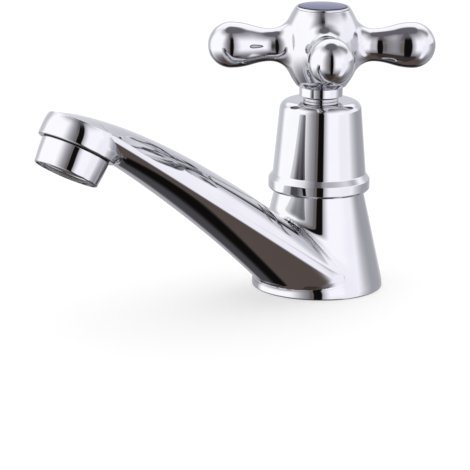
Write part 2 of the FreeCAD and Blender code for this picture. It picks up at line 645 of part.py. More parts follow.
def make_valve_body():
    """Brass headwork: windowed barrel, thread, collar, hexagon, bonnet and threaded neck."""
    body = new_body("valve_body")
    barrel_foot = seat_height + size("barrel_lift_height")
    thread_radius = size("valve_thread_radius") - size("thread_gap")
    revolve(body, "headwork", [
        (barrel_bore, barrel_foot),
        (size("barrel_radius"), barrel_foot),
        (size("barrel_radius"), valve_shoulder),
        (thread_radius, valve_shoulder),
        (thread_radius, pillar_top),
        (size("valve_collar_radius"), pillar_top),
        (size("valve_collar_radius"), hex_foot),
        (size("bonnet_radius"), hex_foot),
        (size("bonnet_radius"), bonnet_top),
        (size("neck_radius"), bonnet_top),
        (size("neck_radius"), neck_top),
        (neck_bore, neck_top),
        (neck_bore, bore_step),
        (spindle_bore, bore_step),
        (spindle_bore, valve_shoulder),
        (barrel_bore, valve_shoulder),
    ])
    hexagon = new_sketch(body, "hexagon_outline", "XY_Plane", along=hex_foot)
    flat = size("hex_width") * HALF_SHARE
    sixth = math.pi / 3
    corner_radius = flat.value / math.cos(sixth / 2)
    corners = [FreeCAD.Vector(math.cos(turn * sixth), math.sin(turn * sixth), 0) * corner_radius
               for turn in range(6)]
    sides = [hexagon.addGeometry(Part.LineSegment(corners[turn], corners[(turn + 1) % 6])) for turn in range(6)]
    circle = hexagon.addGeometry(Part.Circle(FreeCAD.Vector(), FreeCAD.Vector(0, 0, 1), corner_radius), True)
    constrain(hexagon, "Coincident", circle, 3, -1, 1)
    for turn, side in enumerate(sides):
        constrain(hexagon, "Coincident", side, 2, sides[(turn + 1) % 6], 1)
        constrain(hexagon, "PointOnObject", side, 1, circle)
        if turn:
            constrain(hexagon, "Equal", sides[0], side)
    constrain(hexagon, "PointOnObject", sides[0], 1, -1)
    constrain(hexagon, "Radius", circle, amount=flat / cosine(Size(30.0, "30")))
    ring_outline(hexagon, size("bonnet_radius"))
    extrude(body, "hexagon", hexagon, size("hex_height"))
    window = new_sketch(body, "window_outline", "XZ_Plane")
    low = drive_plate_foot + size("window_margin_width")
    high = drive_plate_top - size("window_margin_width")
    trace(window, rectangle(0, size("window_width") * HALF_SHARE, low, high))
    reach = (size("barrel_radius") + size("overrun_length")) * 2
    extrude(body, "windows", window, reach, kind="Pocket", both_ways=True)
    return body


def make_o_ring(label, centre_radius, section, height):
    """A round rubber ring about the tap axis."""
    ring = doc.addObject("Part::Torus", label)
    ring.Label = label
    bind(ring, "Radius1", centre_radius)
    bind(ring, "Radius2", section * HALF_SHARE)
    bind(ring, "Placement.Base.z", height)
    return ring


def make_ceramic_disc(label, foot, slotted):
    """Ceramic disc with two ports. The moving disc also has the slot that takes the drive tang."""
    body = new_body(label)
    blank = new_sketch(body, label + "_outline", "XY_Plane", along=foot)
    ring_outline(blank, barrel_bore - size("disc_gap"))
    extrude(body, label + "_blank", blank, size("disc_thickness"))
    ports = new_sketch(body, label + "_port_outline", "XY_Plane", along=foot)
    for sign in (1, -1):
        centre = size("port_offset") * sign
        ring_outline(ports, size("port_radius"), (0, centre))
    extrude(body, label + "_ports", ports, size("disc_thickness"), kind="Pocket", reversed_way=True)
    if slotted:
        slot = new_sketch(body, label + "_slot_outline", "XY_Plane", along=foot + size("disc_thickness"))
        half_length = size("tang_length") * HALF_SHARE + size("tang_gap")
        half_width = size("tang_width") * HALF_SHARE + size("tang_gap")
        trace(slot, rectangle(0, half_length, -half_width, half_width))
        extrude(body, label + "_slot", slot, size("tang_depth") + size("tang_gap"), kind="Pocket")
    return body


def make_seat_seal():
    """Rubber ring between the casting's seat and the fixed disc."""
    body = new_body("seat_seal")
    outer = barrel_bore - size("disc_gap")
    inner = size("seat_seal_bore_radius")
    revolve(body, "seat_ring", [
        (inner, seat_height), (outer, seat_height), (outer, fixed_disc_height), (inner, fixed_disc_height)])
    return body


def o_ring_heights():
    rise = spindle_shoulder - valve_shoulder
    return [valve_shoulder + rise * share for share in O_RING_HEIGHT_SHARES]


def make_spindle():
    """Brass spindle: drive plate with tang and water notches, two ring grooves, clip groove and spline."""
    body = new_body("spindle")
    floor = size("spindle_radius") - size("o_ring_thickness")
    half_groove = (size("o_ring_thickness") + size("o_ring_groove_gap")) * HALF_SHARE
    neck = size("spindle_neck_radius")
    steps = [
        (0, drive_plate_foot),
        (size("drive_plate_radius"), drive_plate_foot),
        (size("drive_plate_radius"), drive_plate_top),
        (size("spindle_radius"), drive_plate_top),
    ]
    for height in o_ring_heights():
        steps += [
            (size("spindle_radius"), height - half_groove),
            (floor, height - half_groove),
            (floor, height + half_groove),
            (size("spindle_radius"), height + half_groove),
        ]
    steps += [
        (size("spindle_radius"), spindle_shoulder),
        (neck, spindle_shoulder),
        (neck, clip_foot - size("clip_gap")),
        (size("clip_groove_radius"), clip_foot - size("clip_gap")),
        (size("clip_groove_radius"), clip_top + size("clip_gap")),
        (neck, clip_top + size("clip_gap")),
        (neck, spindle_top),
        (size("screw_radius"), spindle_top),
        (size("screw_radius"), screw_foot - size("screw_hole_spare_depth")),
        (0, screw_foot - size("screw_hole_spare_depth")),
    ]
    revolve(body, "turned_spindle", steps)
    tang = new_sketch(body, "tang_outline", "XY_Plane", along=drive_plate_foot)
    half_width = size("tang_width") * HALF_SHARE
    trace(tang, rectangle(0, size("tang_length") * HALF_SHARE, -half_width, half_width))
    extrude(body, "tang", tang, size("tang_depth"), reversed_way=True)
    notches = new_sketch(body, "notch_outline", "XY_Plane", along=drive_plate_foot)
    for sign in (1, -1):
        ring_outline(notches, size("notch_radius"), (0, size("drive_plate_radius") * sign))
    extrude(body, "notches", notches, size("drive_plate_height"), kind="Pocket", reversed_way=True)
    groove = new_sketch(body, "spline_outline", "XY_Plane", along=spindle_top)
    half_spline = size("spline_width") * HALF_SHARE
    trace(groove, rectangle(0, half_spline, neck - size("spline_depth"), neck + size("overrun_length")))
    spline = extrude(body, "spline_groove", groove, spindle_top - clip_top - size("clip_recess_depth"),
                     kind="Pocket")
    polar(body, "spline", spline, size("spline_count"), groove)
    put_in_handle(body)
    return body


def make_thrust_washer():
    """Slip ring above the drive plate."""
    body = new_body("thrust_washer")
    inner = spindle_bore
    outer = size("drive_plate_radius")
    revolve(body, "slip_ring", [
        (inner, drive_plate_top), (outer, drive_plate_top), (outer, valve_shoulder), (inner, valve_shoulder)])
    return body


def make_spindle_clip():
    """Open spring ring in the spindle's top groove."""
    body = new_body("spindle_clip")
    inner = size("clip_groove_radius") + size("clip_gap")
    revolve(body, "clip_ring", [
        (inner, clip_foot),
        (size("clip_radius"), clip_foot),
        (size("clip_radius"), clip_top),
        (inner, clip_top),
    ])
    mouth = new_sketch(body, "mouth_outline", "XY_Plane", along=clip_top)
    mouth_reach = size("clip_radius") + size("overrun_length")
    trace(mouth, rectangle(0, size("clip_mouth_width") * HALF_SHARE, 0, mouth_reach))
    extrude(body, "mouth", mouth, size("clip_thickness"), kind="Pocket")
    put_in_handle(body)
    return body


def make_shroud():
    """Chromed bell over the valve, with a bevelled flange at its foot and a hole for the neck."""
    body = new_body("shroud")
    flange_top = pillar_top + size("flange_height")
    bell_foot = flange_top + size("flange_slope_height")
    shoulder = shroud_top - size("shroud_shoulder_height")
    turn = size("shroud_shoulder_radius") - size("shroud_top_radius")
    hole = size("neck_radius") + size("shroud_gap")
    roof = shroud_top - size("shroud_roof_thickness")
    wall = size("shroud_wall_thickness")
    inner_foot = size("flange_foot_radius") - size("shroud_foot_width")
    revolve(body, "bell", [
        (inner_foot, pillar_top),
        (size("flange_foot_radius"), pillar_top),
        (size("flange_radius"), pillar_top + size("flange_bevel_height")),
        (size("flange_radius"), flange_top),
        (size("shroud_foot_radius"), bell_foot),
        (size("shroud_shoulder_radius"), shoulder),
        (size("shroud_top_radius") + turn * ROUND_SHARE, shoulder + size("shroud_shoulder_height") * ROUND_SHARE,
         size("shroud_top_radius"), shroud_top),
        (hole, shroud_top),
        (hole, roof),
        (size("shroud_top_radius") - wall, roof),
        (size("shroud_shoulder_radius") - wall, shoulder - wall),
    ])
    return body


def make_shroud_ring():
    """Bevelled ring nut on the neck that clamps the shroud."""
    body = new_body("shroud_ring")
    bore = size("neck_radius") + size("running_gap")
    bevel = size("ring_bevel_width")
    revolve(body, "ring_nut", [
        (bore, shroud_top),
        (size("ring_radius"), shroud_top),
        (size("ring_radius"), ring_top - bevel),
        (size("ring_radius") - bevel, ring_top),
        (bore, ring_top),
    ])
    return body


def make_cross_handle():
    """Barrel hub on a short collar, four club-shaped arms with ball ends, bores for spindle and screw."""
    body = new_body("cross_handle")
    revolve(body, "hub", [
        (0, handle_foot),
        (size("collar_radius"), handle_foot),
        (size("collar_radius"), handle_foot + size("collar_height")),
        (size("hub_foot_radius"), handle_foot + size("hub_foot_height")),
        (size("hub_belly_radius"), handle_foot + size("hub_belly_height"), size("hub_rim_radius"), hub_top),
        (0, hub_top),
    ])
    club_run = size("arm_ball_distance") - size("arm_club_distance")
    club_gain = size("arm_ball_radius") - size("arm_club_radius")
    neck_run = size("arm_club_distance") - size("arm_waist_distance")
    neck_gain = size("arm_club_radius") - size("arm_waist_radius")
    arm_level = handle_foot + size("arm_height")
    arm = revolve(body, "arm", [
        (size("arm_root_distance"), 0),
        (size("arm_root_distance"), size("arm_waist_radius")),
        (size("arm_waist_distance"), size("arm_waist_radius")),
        (size("arm_waist_distance") + neck_run * HALF_SHARE,
         size("arm_waist_radius") + neck_gain * NECK_GAIN_SHARE,
         size("arm_club_distance"), size("arm_club_radius")),
        (size("arm_club_distance") + club_run * HALF_SHARE,
         size("arm_club_radius") + club_gain * CLUB_GAIN_SHARE,
         size("arm_ball_distance"), size("arm_ball_radius")),
        ("dome", size("arm_ball_distance") + size("arm_ball_radius"), 0),
    ], axis="H_Axis", frame=(Size(0.0, "0"), arm_level, Size(0.0, "0"), 1))
    level = new_sketch(body, "arm_axis", "XY_Plane")
    arms = polar(body, "arms", arm, Size(4, "4"), level)
    doc.recompute()
    # The arms leave the hub along the edges that lie on its belly, within an arm's radius of the arms' level
    seams = []
    for index, seam in enumerate(arms.Shape.Edges, start=1):
        middle = seam.valueAt((seam.FirstParameter + seam.LastParameter) / 2)
        points = [middle] + [vertex.Point for vertex in seam.Vertexes]
        spread = [math.hypot(point.x, point.y) for point in points]
        rise = [abs(point.z - arm_level.value) for point in points]
        on_belly = min(spread) > size("hub_rim_radius").value and max(spread) < size("arm_waist_distance").value
        if on_belly and max(rise) < size("arm_root_distance").value:
            seams.append(f"Edge{index}")
    flare = body.newObject("PartDesign::Fillet", "arm_flare")
    flare.Base = (arms, seams)
    bind(flare, "Radius", size("arm_flare_radius"))
    body.Tip = flare
    recess_top = handle_foot + size("clip_recess_depth")
    socket_top = handle_foot + size("socket_height")
    hole = size("screw_radius") + size("screw_gap")
    cap_floor = hub_top - size("cap_recess_depth")
    revolve(body, "bores", [
        (0, handle_foot),
        (size("clip_recess_radius"), handle_foot),
        (size("clip_recess_radius"), recess_top),
        (size("socket_radius"), recess_top),
        (size("socket_radius"), socket_top),
        (hole, socket_top),
        (hole, screw_seat),
        (size("screw_well_radius"), screw_seat),
        (size("screw_well_radius"), cap_floor),
        (size("cap_recess_radius"), cap_floor),
        (size("cap_recess_radius"), hub_top),
        (0, hub_top),
    ], kind="Groove")
    put_in_handle(body)
    return body


def make_handle_screw():
    """Slotted screw that draws the handle onto the spindle."""
    body = new_body("handle_screw")
    head_top = screw_seat + size("screw_head_height")
    revolve(body, "screw", [
        (0, screw_foot),
        (size("screw_radius"), screw_foot),
        (size("screw_radius"), screw_seat),
        (size("screw_head_radius"), screw_seat),
        (size("screw_head_radius"), head_top),
        (0, head_top),
    ])
    slot = new_sketch(body, "slot_outline", "XY_Plane", along=head_top)
    half_width = size("screw_slot_width") * HALF_SHARE
    trace(slot, rectangle(0, size("screw_head_radius") + size("overrun_length"), -half_width, half_width))
    extrude(body, "slot", slot, size("screw_slot_depth"), kind="Pocket")
    put_in_handle(body)
    return body


def make_index_cap():
    """Chromed plug in the hub's top, whose rim frames the index disc."""
    body = new_body("index_cap")
    plug = size("cap_recess_radius") - size("cap_gap")
    hollow = plug - size("cap_plug_wall_thickness")
    rim_top = hub_top + size("cap_rim_height")
    edge = size("cap_rim_edge_width")
    disc_floor = rim_top - size("index_thickness")
    web = disc_floor - size("cap_plug_wall_thickness")
    revolve(body, "cap", [
        (hollow, hub_top - size("cap_plug_depth")),
        (plug, hub_top - size("cap_plug_depth")),
        (plug, hub_top),
        (size("cap_rim_radius"), hub_top),
        (size("cap_rim_radius"), rim_top - edge),
        (size("cap_rim_radius") - edge, rim_top),
        (size("index_radius") + size("cap_gap"), rim_top),
        (size("index_radius") + size("cap_gap"), disc_floor),
        (0, disc_floor),
        (0, web),
        (hollow, web),
    ])
    return body


def make_index_disc():
    """Coloured disc with a slightly domed face."""
    body = new_body("index_disc")
    foot = hub_top + size("cap_rim_height") - size("index_thickness")
    edge_top = foot + size("index_thickness")
    revolve(body, "disc", [
        (0, foot),
        (size("index_radius"), foot),
        (size("index_radius"), edge_top),
        ("dome", 0, edge_top + size("index_dome_height")),
    ])
    return body


def make_aerator_housing():
    """Chromed ring: thread above, slightly tapered skirt below, inner ledge that carries the plastic pieces."""
    body = new_body("aerator_housing")
    thread = size("aerator_radius") - size("aerator_line_gap") - size("thread_gap")
    line = -size("aerator_line_gap")
    mouth = -size("aerator_drop_height")
    edge = size("aerator_edge_width")
    ledge_foot = mouth + size("aerator_recess_depth")
    ledge_top = ledge_foot + size("aerator_ledge_thickness")
    revolve(body, "housing", [
        (size("aerator_mouth_bore_radius"), mouth),
        (size("aerator_mouth_radius") - edge, mouth),
        (size("aerator_mouth_radius"), mouth + edge),
        (size("aerator_radius"), line),
        (thread, line),
        (thread, size("aerator_thread_height")),
        (size("aerator_bore_radius"), size("aerator_thread_height")),
        (size("aerator_bore_radius"), ledge_top),
        (size("aerator_ledge_radius"), ledge_top),
        (size("aerator_ledge_radius"), ledge_foot),
        (size("aerator_mouth_bore_radius"), ledge_foot),
    ])
    put_in_nose(body)
    return body


def cassette_levels():
    """Lower and upper faces of the cassette."""
    foot = size("aerator_recess_depth") + size("aerator_ledge_thickness") - size("aerator_drop_height")
    return foot, foot + size("cassette_height")


def make_aerator_cassette():
    """Plastic ring with a ledge under the mesh."""
    body = new_body("aerator_cassette")
    foot, top = cassette_levels()
    outer = size("aerator_bore_radius") - size("insert_gap")
    inner = outer - size("cassette_wall_thickness")
    ledge = inner - size("cassette_ledge_width")
    revolve(body, "ring", [
        (ledge, foot),
        (outer, foot),
        (outer, top),
        (inner, top),
        (inner, foot + size("cassette_foot_thickness")),
        (ledge, foot + size("cassette_foot_thickness")),
    ])
    put_in_nose(body)
    return body


def make_aerator_mesh():
    """Disc of woven wire on the cassette's ledge."""
    body = new_body("aerator_mesh")
    foot, top = cassette_levels()
    low = foot + size("cassette_foot_thickness")
    radius = size("aerator_bore_radius") - size("insert_gap") * 2 - size("cassette_wall_thickness")
    revolve(body, "disc", [
        (0, low), (radius, low), (radius, low + size("mesh_thickness")), (0, low + size("mesh_thickness"))])
    put_in_nose(body)
    return body


def make_aerator_insert():
    """White jet former: a rim that stands on the cassette and a dome with a ring of jet slots."""
    body = new_body("aerator_insert")
    low = cassette_levels()[1]
    top = size("aerator_thread_height")
    outer = size("aerator_bore_radius") - size("insert_gap")
    inner = outer - size("insert_rim_thickness")
    spring = top - size("insert_spring_depth")
    floor = size("insert_floor_thickness")
    crown = spring + size("insert_dome_height")
    revolve(body, "former", [
        (inner, low),
        (outer, low),
        (outer, top),
        (inner, top),
        (inner, spring),
        ("dome", 0, crown),
        (0, crown - floor),
        ("dome", inner, spring - floor),
    ])
    jets = new_sketch(body, "jet_outline", "XY_Plane", along=crown)
    ring_outline(jets, size("jet_radius"), (size("jet_circle_radius"), 0))
    jet = extrude(body, "jet", jets, crown - low, kind="Pocket")
    polar(body, "jets", jet, size("jet_count"), jets)
    put_in_nose(body)
    return body


def make_aerator_washer():
    """Flat rubber ring between the housing and the end of the nose's socket."""
    body = new_body("aerator_washer")
    outer = size("aerator_radius") - size("aerator_line_gap") - size("thread_gap")
    low, high = size("aerator_thread_height"), size("nose_thread_depth")
    revolve(body, "flat_ring", [
        (size("washer_bore_radius"), low), (outer, low), (outer, high), (size("washer_bore_radius"), high)])
    put_in_nose(body)
    return body


ring_radius = size("spindle_radius") - size("o_ring_thickness") * HALF_SHARE + size("o_ring_gap")
lower_height, upper_height = o_ring_heights()
seal_radius = (size("valve_recess_radius") + size("valve_thread_radius")) * HALF_SHARE
seal_height = pillar_top - size("valve_recess_depth") * HALF_SHARE
pieces = [
    make_casting(),
    make_base_seal(),
    make_valve_body(),
    make_o_ring("valve_seal", seal_radius, size("valve_seal_thickness"), seal_height),
    make_seat_seal(),
    make_ceramic_disc("ceramic_disc_fixed", fixed_disc_height, False),
    make_ceramic_disc("ceramic_disc_moving", moving_disc_height, True),
    make_spindle(),
    make_thrust_washer(),
    make_o_ring("spindle_o_ring_lower", ring_radius, size("o_ring_thickness"), lower_height),
    make_o_ring("spindle_o_ring_upper", ring_radius, size("o_ring_thickness"), upper_height),
    make_spindle_clip(),
    make_shroud(),
    make_shroud_ring(),
    make_cross_handle(),
    make_handle_screw(),
    make_index_cap(),
    make_index_disc(),
    make_aerator_housing(),
    make_aerator_cassette(),
    make_aerator_mesh(),
    make_aerator_insert(),
    make_aerator_washer(),
]
put_in_handle(doc.getObject("ceramic_disc_moving"))
doc.recompute()

failed = [item.Name for item in doc.Objects if "Invalid" in item.State or "Error" in item.State]
if failed:
    raise RuntimeError("features that failed: " + ", ".join(failed))
for piece in pieces:
    shape = piece.Shape
    if shape.isNull() or not shape.isValid() or not shape.Solids:
        raise RuntimeError("bad solid: " + piece.Label)

os.makedirs("parts", exist_ok=True)
for piece in pieces:
    shape = piece.Shape
    shape.exportStep(os.path.join("parts", piece.Label + ".step"))
    box = shape.BoundBox
    print(f"{piece.Label}: {len(shape.Solids)} solid, {shape.Volume / 1000:.2f} cm3, "
          f"x {box.XMin:.1f} to {box.XMax:.1f}, y {box.YMin:.1f} to {box.YMax:.1f}, "
          f"z {box.ZMin:.1f} to {box.ZMax:.1f}")
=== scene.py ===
# %% [markdown]
# # A chromed basin tap
# The tap is a cast brass body with a broad spout, a bell-shaped shroud, a cross handle and a screwed-in
# aerator, all plated in mirror chrome. The CAD model gives every piece its place and size. This lesson
# lays finer skins over the pieces that show, because a mirror finish betrays every facet, and gives the
# hidden pieces the look of their real materials.

import bmesh
import bpy
import numpy as np
from mathutils import Matrix


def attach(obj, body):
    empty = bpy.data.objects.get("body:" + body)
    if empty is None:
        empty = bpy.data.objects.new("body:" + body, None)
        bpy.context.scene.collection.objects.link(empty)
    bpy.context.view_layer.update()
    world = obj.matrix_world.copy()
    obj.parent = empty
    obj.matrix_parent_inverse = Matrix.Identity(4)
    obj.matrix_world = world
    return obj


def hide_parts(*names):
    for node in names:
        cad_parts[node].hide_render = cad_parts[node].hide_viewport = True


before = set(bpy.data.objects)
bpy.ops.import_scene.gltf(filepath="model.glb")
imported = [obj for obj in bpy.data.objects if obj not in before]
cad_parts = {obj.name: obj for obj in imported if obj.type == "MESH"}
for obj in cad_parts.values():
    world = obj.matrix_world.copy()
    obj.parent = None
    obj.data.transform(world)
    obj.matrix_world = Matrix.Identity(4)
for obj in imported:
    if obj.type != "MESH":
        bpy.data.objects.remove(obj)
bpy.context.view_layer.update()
print("nodes:", len(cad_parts))

# %% [markdown]
# ## From grids of points to pieces
# Every skin below is a grid: one parameter runs along a profile, the other round an axis. Working on
# whole grids keeps the formulas short. A seam or a pole is simply points that fall on each other, so
# merging doubles closes it, and after that the normals can be turned outwards in one go.

# %% Grids into meshes
MM = 0.001
MERGE_DISTANCE = 2e-6


def quads(rows, columns, first):
    """Corners of a grid's faces: each point with its neighbours along one parameter, the other, and both."""
    number = first + np.arange(rows * columns).reshape(rows, columns)
    corners = number[:-1, :-1], number[:-1, 1:], number[1:, 1:], number[1:, :-1]
    return np.stack(corners, axis=-1).reshape(-1, 4)


def make_piece(name, grids, crease=32):
    """One object from grids of points in millimetres, merged where they meet, and smooth where the faces
    turn by less than the crease angle."""
    sizes = [grid.shape[0] * grid.shape[1] for grid in grids]
    starts = np.concatenate([[0], np.cumsum(sizes)[:-1]])
    points = np.concatenate([grid.reshape(-1, 3) for grid in grids]) * MM
    faces = np.concatenate([quads(*grid.shape[:2], start) for grid, start in zip(grids, starts)])
    mesh = bpy.data.meshes.new(name)
    mesh.from_pydata(points.tolist(), [], faces.tolist())
    shell = bmesh.new()
    shell.from_mesh(mesh)
    bmesh.ops.remove_doubles(shell, verts=shell.verts, dist=MERGE_DISTANCE)
    bmesh.ops.recalc_face_normals(shell, faces=shell.faces)
    shell.to_mesh(mesh)
    shell.free()
    mesh.shade_smooth()
    mesh.set_sharp_from_angle(angle=np.radians(crease))
    piece = bpy.data.objects.new(name, mesh)
    bpy.context.scene.collection.objects.link(piece)
    print(name, "faces:", len(mesh.polygons))
    return piece


def dress(piece, body, finish, slot, *nodes):
    """The piece takes its finish, moves with its body and stands for the CAD nodes named."""
    piece.data.materials.append(finish)
    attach(piece, body)
    if nodes:
        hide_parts(*nodes)


print("faces in a grid of 3 by 4 points:", len(quads(3, 4, 0)))

# %% [markdown]
# ## Turned profiles
# Most of the tap is turned on a lathe, so a profile of radius and height says it all. Real edges are
# never sharp: polishing rounds them, and in chrome that rounding is the bright line that outlines the
# piece. Each corner here carries its own rounding. Straight runs get extra points close to their ends, so
# that the smooth shading of a corner does not bleed along the flat.

# %% Rounded profiles and turning
def run_between(start, end, step, inset=0.12, short=0.5):
    """Points on a straight run: even steps of about the given length, and one more an inset from each end. A
    short run has only its two ends."""
    length = np.linalg.norm(end - start)
    if length < short:
        return np.array([start, end])
    steps = np.linspace(0, length, int(length / step) + 2)
    steps = np.unique(np.concatenate([steps, [inset, length - inset]]))
    return start + (end - start) * (steps / length)[:, None]


def rounded(*corners, steps=8, step=1.5, nearest=1e-6):
    """Profile through corners (radius, height, rounding): an arc touches both sides of a corner at rounding
    / tan(half the corner's angle) from it, and straight runs join the arcs. Points that repeat are left
    out."""
    corners = np.array([(*corner, 0)[:3] for corner in corners], float)
    points, roundings = corners[:, :2], corners[:, 2]
    arcs = [points[:1]]
    for before, corner, after, rounding in zip(points, points[1:], points[2:], roundings[1:]):
        back = (before - corner) / np.linalg.norm(before - corner)
        ahead = (after - corner) / np.linalg.norm(after - corner)
        if rounding == 0:
            arcs.append(corner[None])
            continue
        half = np.arccos(np.clip(back @ ahead, -1, 1)) / 2
        middle = (back + ahead) / np.linalg.norm(back + ahead)
        centre = corner + middle * rounding / np.sin(half)
        first = corner + back * rounding / np.tan(half) - centre
        last = corner + ahead * rounding / np.tan(half) - centre
        share = np.linspace(0, 1, steps)[:, None]
        turn = np.pi - 2 * half
        arc = np.sin((1 - share) * turn) * first + np.sin(share * turn) * last
        arcs.append(centre + arc / np.sin(turn))
    arcs.append(points[-1:])
    runs = [run_between(arc[-1], following[0], step) for arc, following in zip(arcs, arcs[1:])]
    parts = [part for pair in zip(arcs, runs) for part in pair] + arcs[-1:]
    path = np.concatenate(parts)
    fresh = np.concatenate([[True], np.linalg.norm(np.diff(path, axis=0), axis=1) > nearest])
    return path[fresh]


def swung(radius, height, angle):
    """Points round the height axis: (radius * cos angle, radius * sin angle, height)."""
    return np.stack([radius * np.cos(angle), radius * np.sin(angle), height + 0 * angle], axis=-1)


def turned(profile, columns=193):
    """The profile swung once round the height axis."""
    return swung(profile[:, :1], profile[:, 1:], np.linspace(0, 2 * np.pi, columns))


print("points on a corner with a rounding of 1 mm:", len(rounded((0, 0), (5, 0, 1), (5, 5))))

# %% [markdown]
# ## Finishes
# Chrome plating is a very thin, hard mirror over nickel and polished brass. It follows the polished
# casting, which is never quite flat, so its reflections swim a little, and wiping leaves it a touch
# duller in places. The other finishes follow what basin taps are made of inside: turned brass, stainless
# steel, alumina ceramic, nitrile rubber and moulded acetal. Each has two close tones, a roughness that
# wanders between two values and a fine relief, with the scale of its grain in millimetres.

# %% Colours and nodes
WAVE_BAND = 0.314  # width of one band of the wave texture at a scale of 1
MIX_SHARE, MIX_FIRST, MIX_SECOND, MIX_RESULT = 0, 6, 7, 2  # sockets of the mix node for colours


def hex_values(text):
    """Red, green and blue of an sRGB hex value, from 0 to 1."""
    return np.array([int(text[place:place + 2], 16) for place in (1, 3, 5)]) / 255


def linear(values):
    """Linear light of sRGB values: a straight foot, then a power of 2.4."""
    return np.where(values <= 0.04045, values / 12.92, ((values + 0.055) / 1.055) ** 2.4)


def srgb(text):
    """Linear colour of an sRGB hex value, with full alpha."""
    return (*linear(hex_values(text)).tolist(), 1.0)


def add(tree, kind, inputs=None, **settings):
    """Adds a node with its settings. An input that is a socket is linked, any other is the input's value."""
    made = tree.nodes.new(kind)
    for name, value in settings.items():
        setattr(made, name, value)
    for name, value in (inputs or {}).items():
        if isinstance(value, bpy.types.NodeSocket):
            tree.links.new(value, made.inputs[name])
        else:
            made.inputs[name].default_value = value
    return made


def finish(name, tones, roughness, grain, relief, metal=0.0, rings=None, **constants):
    """A surface whose colour runs between two tones with a noise of the given grain in mm. Its roughness,
    between two values, and its relief in mm follow the same noise, or turning rings of the given spacing in
    mm."""
    made = bpy.data.materials.new(name)
    made.use_nodes = True
    tree = made.node_tree
    shader = tree.nodes["Principled BSDF"]
    place = add(tree, "ShaderNodeTexCoord").outputs["Object"]
    noise = add(tree, "ShaderNodeTexNoise", {"Vector": place, "Scale": 1 / (grain * MM), "Detail": 3.0})
    pattern = noise.outputs["Fac"]
    if rings:
        wave = {"Vector": place, "Scale": WAVE_BAND / (rings * MM), "Distortion": 0.4, "Detail": 1.0}
        pattern = add(tree, "ShaderNodeTexWave", wave, wave_type="BANDS", bands_direction="Z").outputs["Fac"]
    blend = {MIX_SHARE: noise.outputs["Fac"], MIX_FIRST: srgb(tones[0]), MIX_SECOND: srgb(tones[1])}
    tone = add(tree, "ShaderNodeMix", blend, data_type="RGBA")
    low, high = roughness
    rough = add(tree, "ShaderNodeMapRange", {"Value": pattern, "To Min": low, "To Max": high})
    bump = add(tree, "ShaderNodeBump", {"Height": pattern, "Distance": relief * MM, "Strength": 1.0})
    tree.links.new(tone.outputs[MIX_RESULT], shader.inputs["Base Color"])
    tree.links.new(rough.outputs[0], shader.inputs["Roughness"])
    tree.links.new(bump.outputs[0], shader.inputs["Normal"])
    shader.inputs["Metallic"].default_value = metal
    for socket, value in constants.items():
        shader.inputs[socket.replace("_", " ")].default_value = value
    return made


print("middle grey in linear light:", linear(hex_values("#808080")).round(3))

# %% [markdown]
# The chrome is slightly blue-white and gives back a little more than half of the light, so a reflection
# of a reflection is clearly darker. Its grain of 9 mm is the slow swell that polishing leaves, only a
# thousandth of a millimetre high. The mesh is stainless wire, tan-grey from its drawn surface, and the
# rubber and plastics have the soft sheen that they take from their moulds. The thread that holds the
# aerator sits in shadow, so it gets a near-black finish, painted shade that shows as a dark line.

# %% Finishes of the tap
chrome = finish("chrome_plate", ("#C6C6CA", "#C0C0C4"), (0.015, 0.045), 9.0, 0.001, metal=1.0)
brass = finish("turned_brass", ("#D8B46A", "#C39A4E"), (0.16, 0.34), 3.0, 0.006, metal=1.0, rings=0.5)
steel = finish("stainless_steel", ("#C9C8C6", "#B4B2AF"), (0.18, 0.32), 1.2, 0.003, metal=1.0)
wire = finish("stainless_wire", ("#A69D8F", "#867E72"), (0.25, 0.4), 0.8, 0.002, metal=1.0)
rubber = finish("nitrile_rubber", ("#1B1B1D", "#262628"), (0.5, 0.7), 0.7, 0.01)
ceramic = finish("alumina_ceramic", ("#F1EEE6", "#E6E2D8"), (0.12, 0.24), 1.0, 0.001)
acetal = finish("white_acetal", ("#EDEDEB", "#E2E2E0"), (0.32, 0.46), 0.9, 0.003, Subsurface_Weight=0.05)
# painted shade: a near-black finish for the shadow in the gap under the nose's rim
painted_thread_shade = finish("thread_painted_shade", ("#35322F", "#2A2826"), (0.4, 0.6), 0.5, 0.004, metal=1.0)
finishes = chrome, brass, steel, wire, rubber, ceramic, acetal, painted_thread_shade
print("finishes:", [made.name for made in finishes])

# %% [markdown]
# The index disc is a domed blue plastic badge with no mark on it. Its colour is deepest where it turns
# down to the chrome rim: painted shade for the shadow in the groove between disc and rim. So the tone
# follows the distance from the tap's axis, and a clear coat gives it gloss.

# %% Index plastic
# painted shade: between these distances from the axis the blue deepens to navy, the groove's shadow
RIM_SHADE_FROM, RIM_SHADE_FULL = 6.9, 8.5
index_plastic = finish(
    "blue_index_plastic", ("#3F4086", "#373877"), (0.14, 0.22), 1.5, 0.002, Coat_Weight=0.1,
    Specular_IOR_Level=0.22)
tree = index_plastic.node_tree
place = next(made for made in tree.nodes if made.type == "TEX_COORD").outputs["Object"]
flat = add(tree, "ShaderNodeVectorMath", {0: place, 1: (1, 1, 0)}, operation="MULTIPLY").outputs[0]
reach = add(tree, "ShaderNodeVectorMath", {0: flat}, operation="LENGTH").outputs["Value"]
fade = {"Value": reach, "From Min": RIM_SHADE_FROM * MM, "From Max": RIM_SHADE_FULL * MM}
edge = add(tree, "ShaderNodeMapRange", fade).outputs[0]
tone = next(made for made in tree.nodes if made.type == "MIX").outputs[MIX_RESULT]
# painted shade: mixes the blue towards a deep navy near the rim
blend = {MIX_SHARE: edge, MIX_FIRST: tone, MIX_SECOND: srgb("#14133C")}
painted_rim_shade = add(tree, "ShaderNodeMix", blend, data_type="RGBA").outputs[MIX_RESULT]
tree.links.new(painted_rim_shade, tree.nodes["Principled BSDF"].inputs["Base Color"])
print(index_plastic.name, "is deepest", RIM_SHADE_FULL, "mm from the axis")

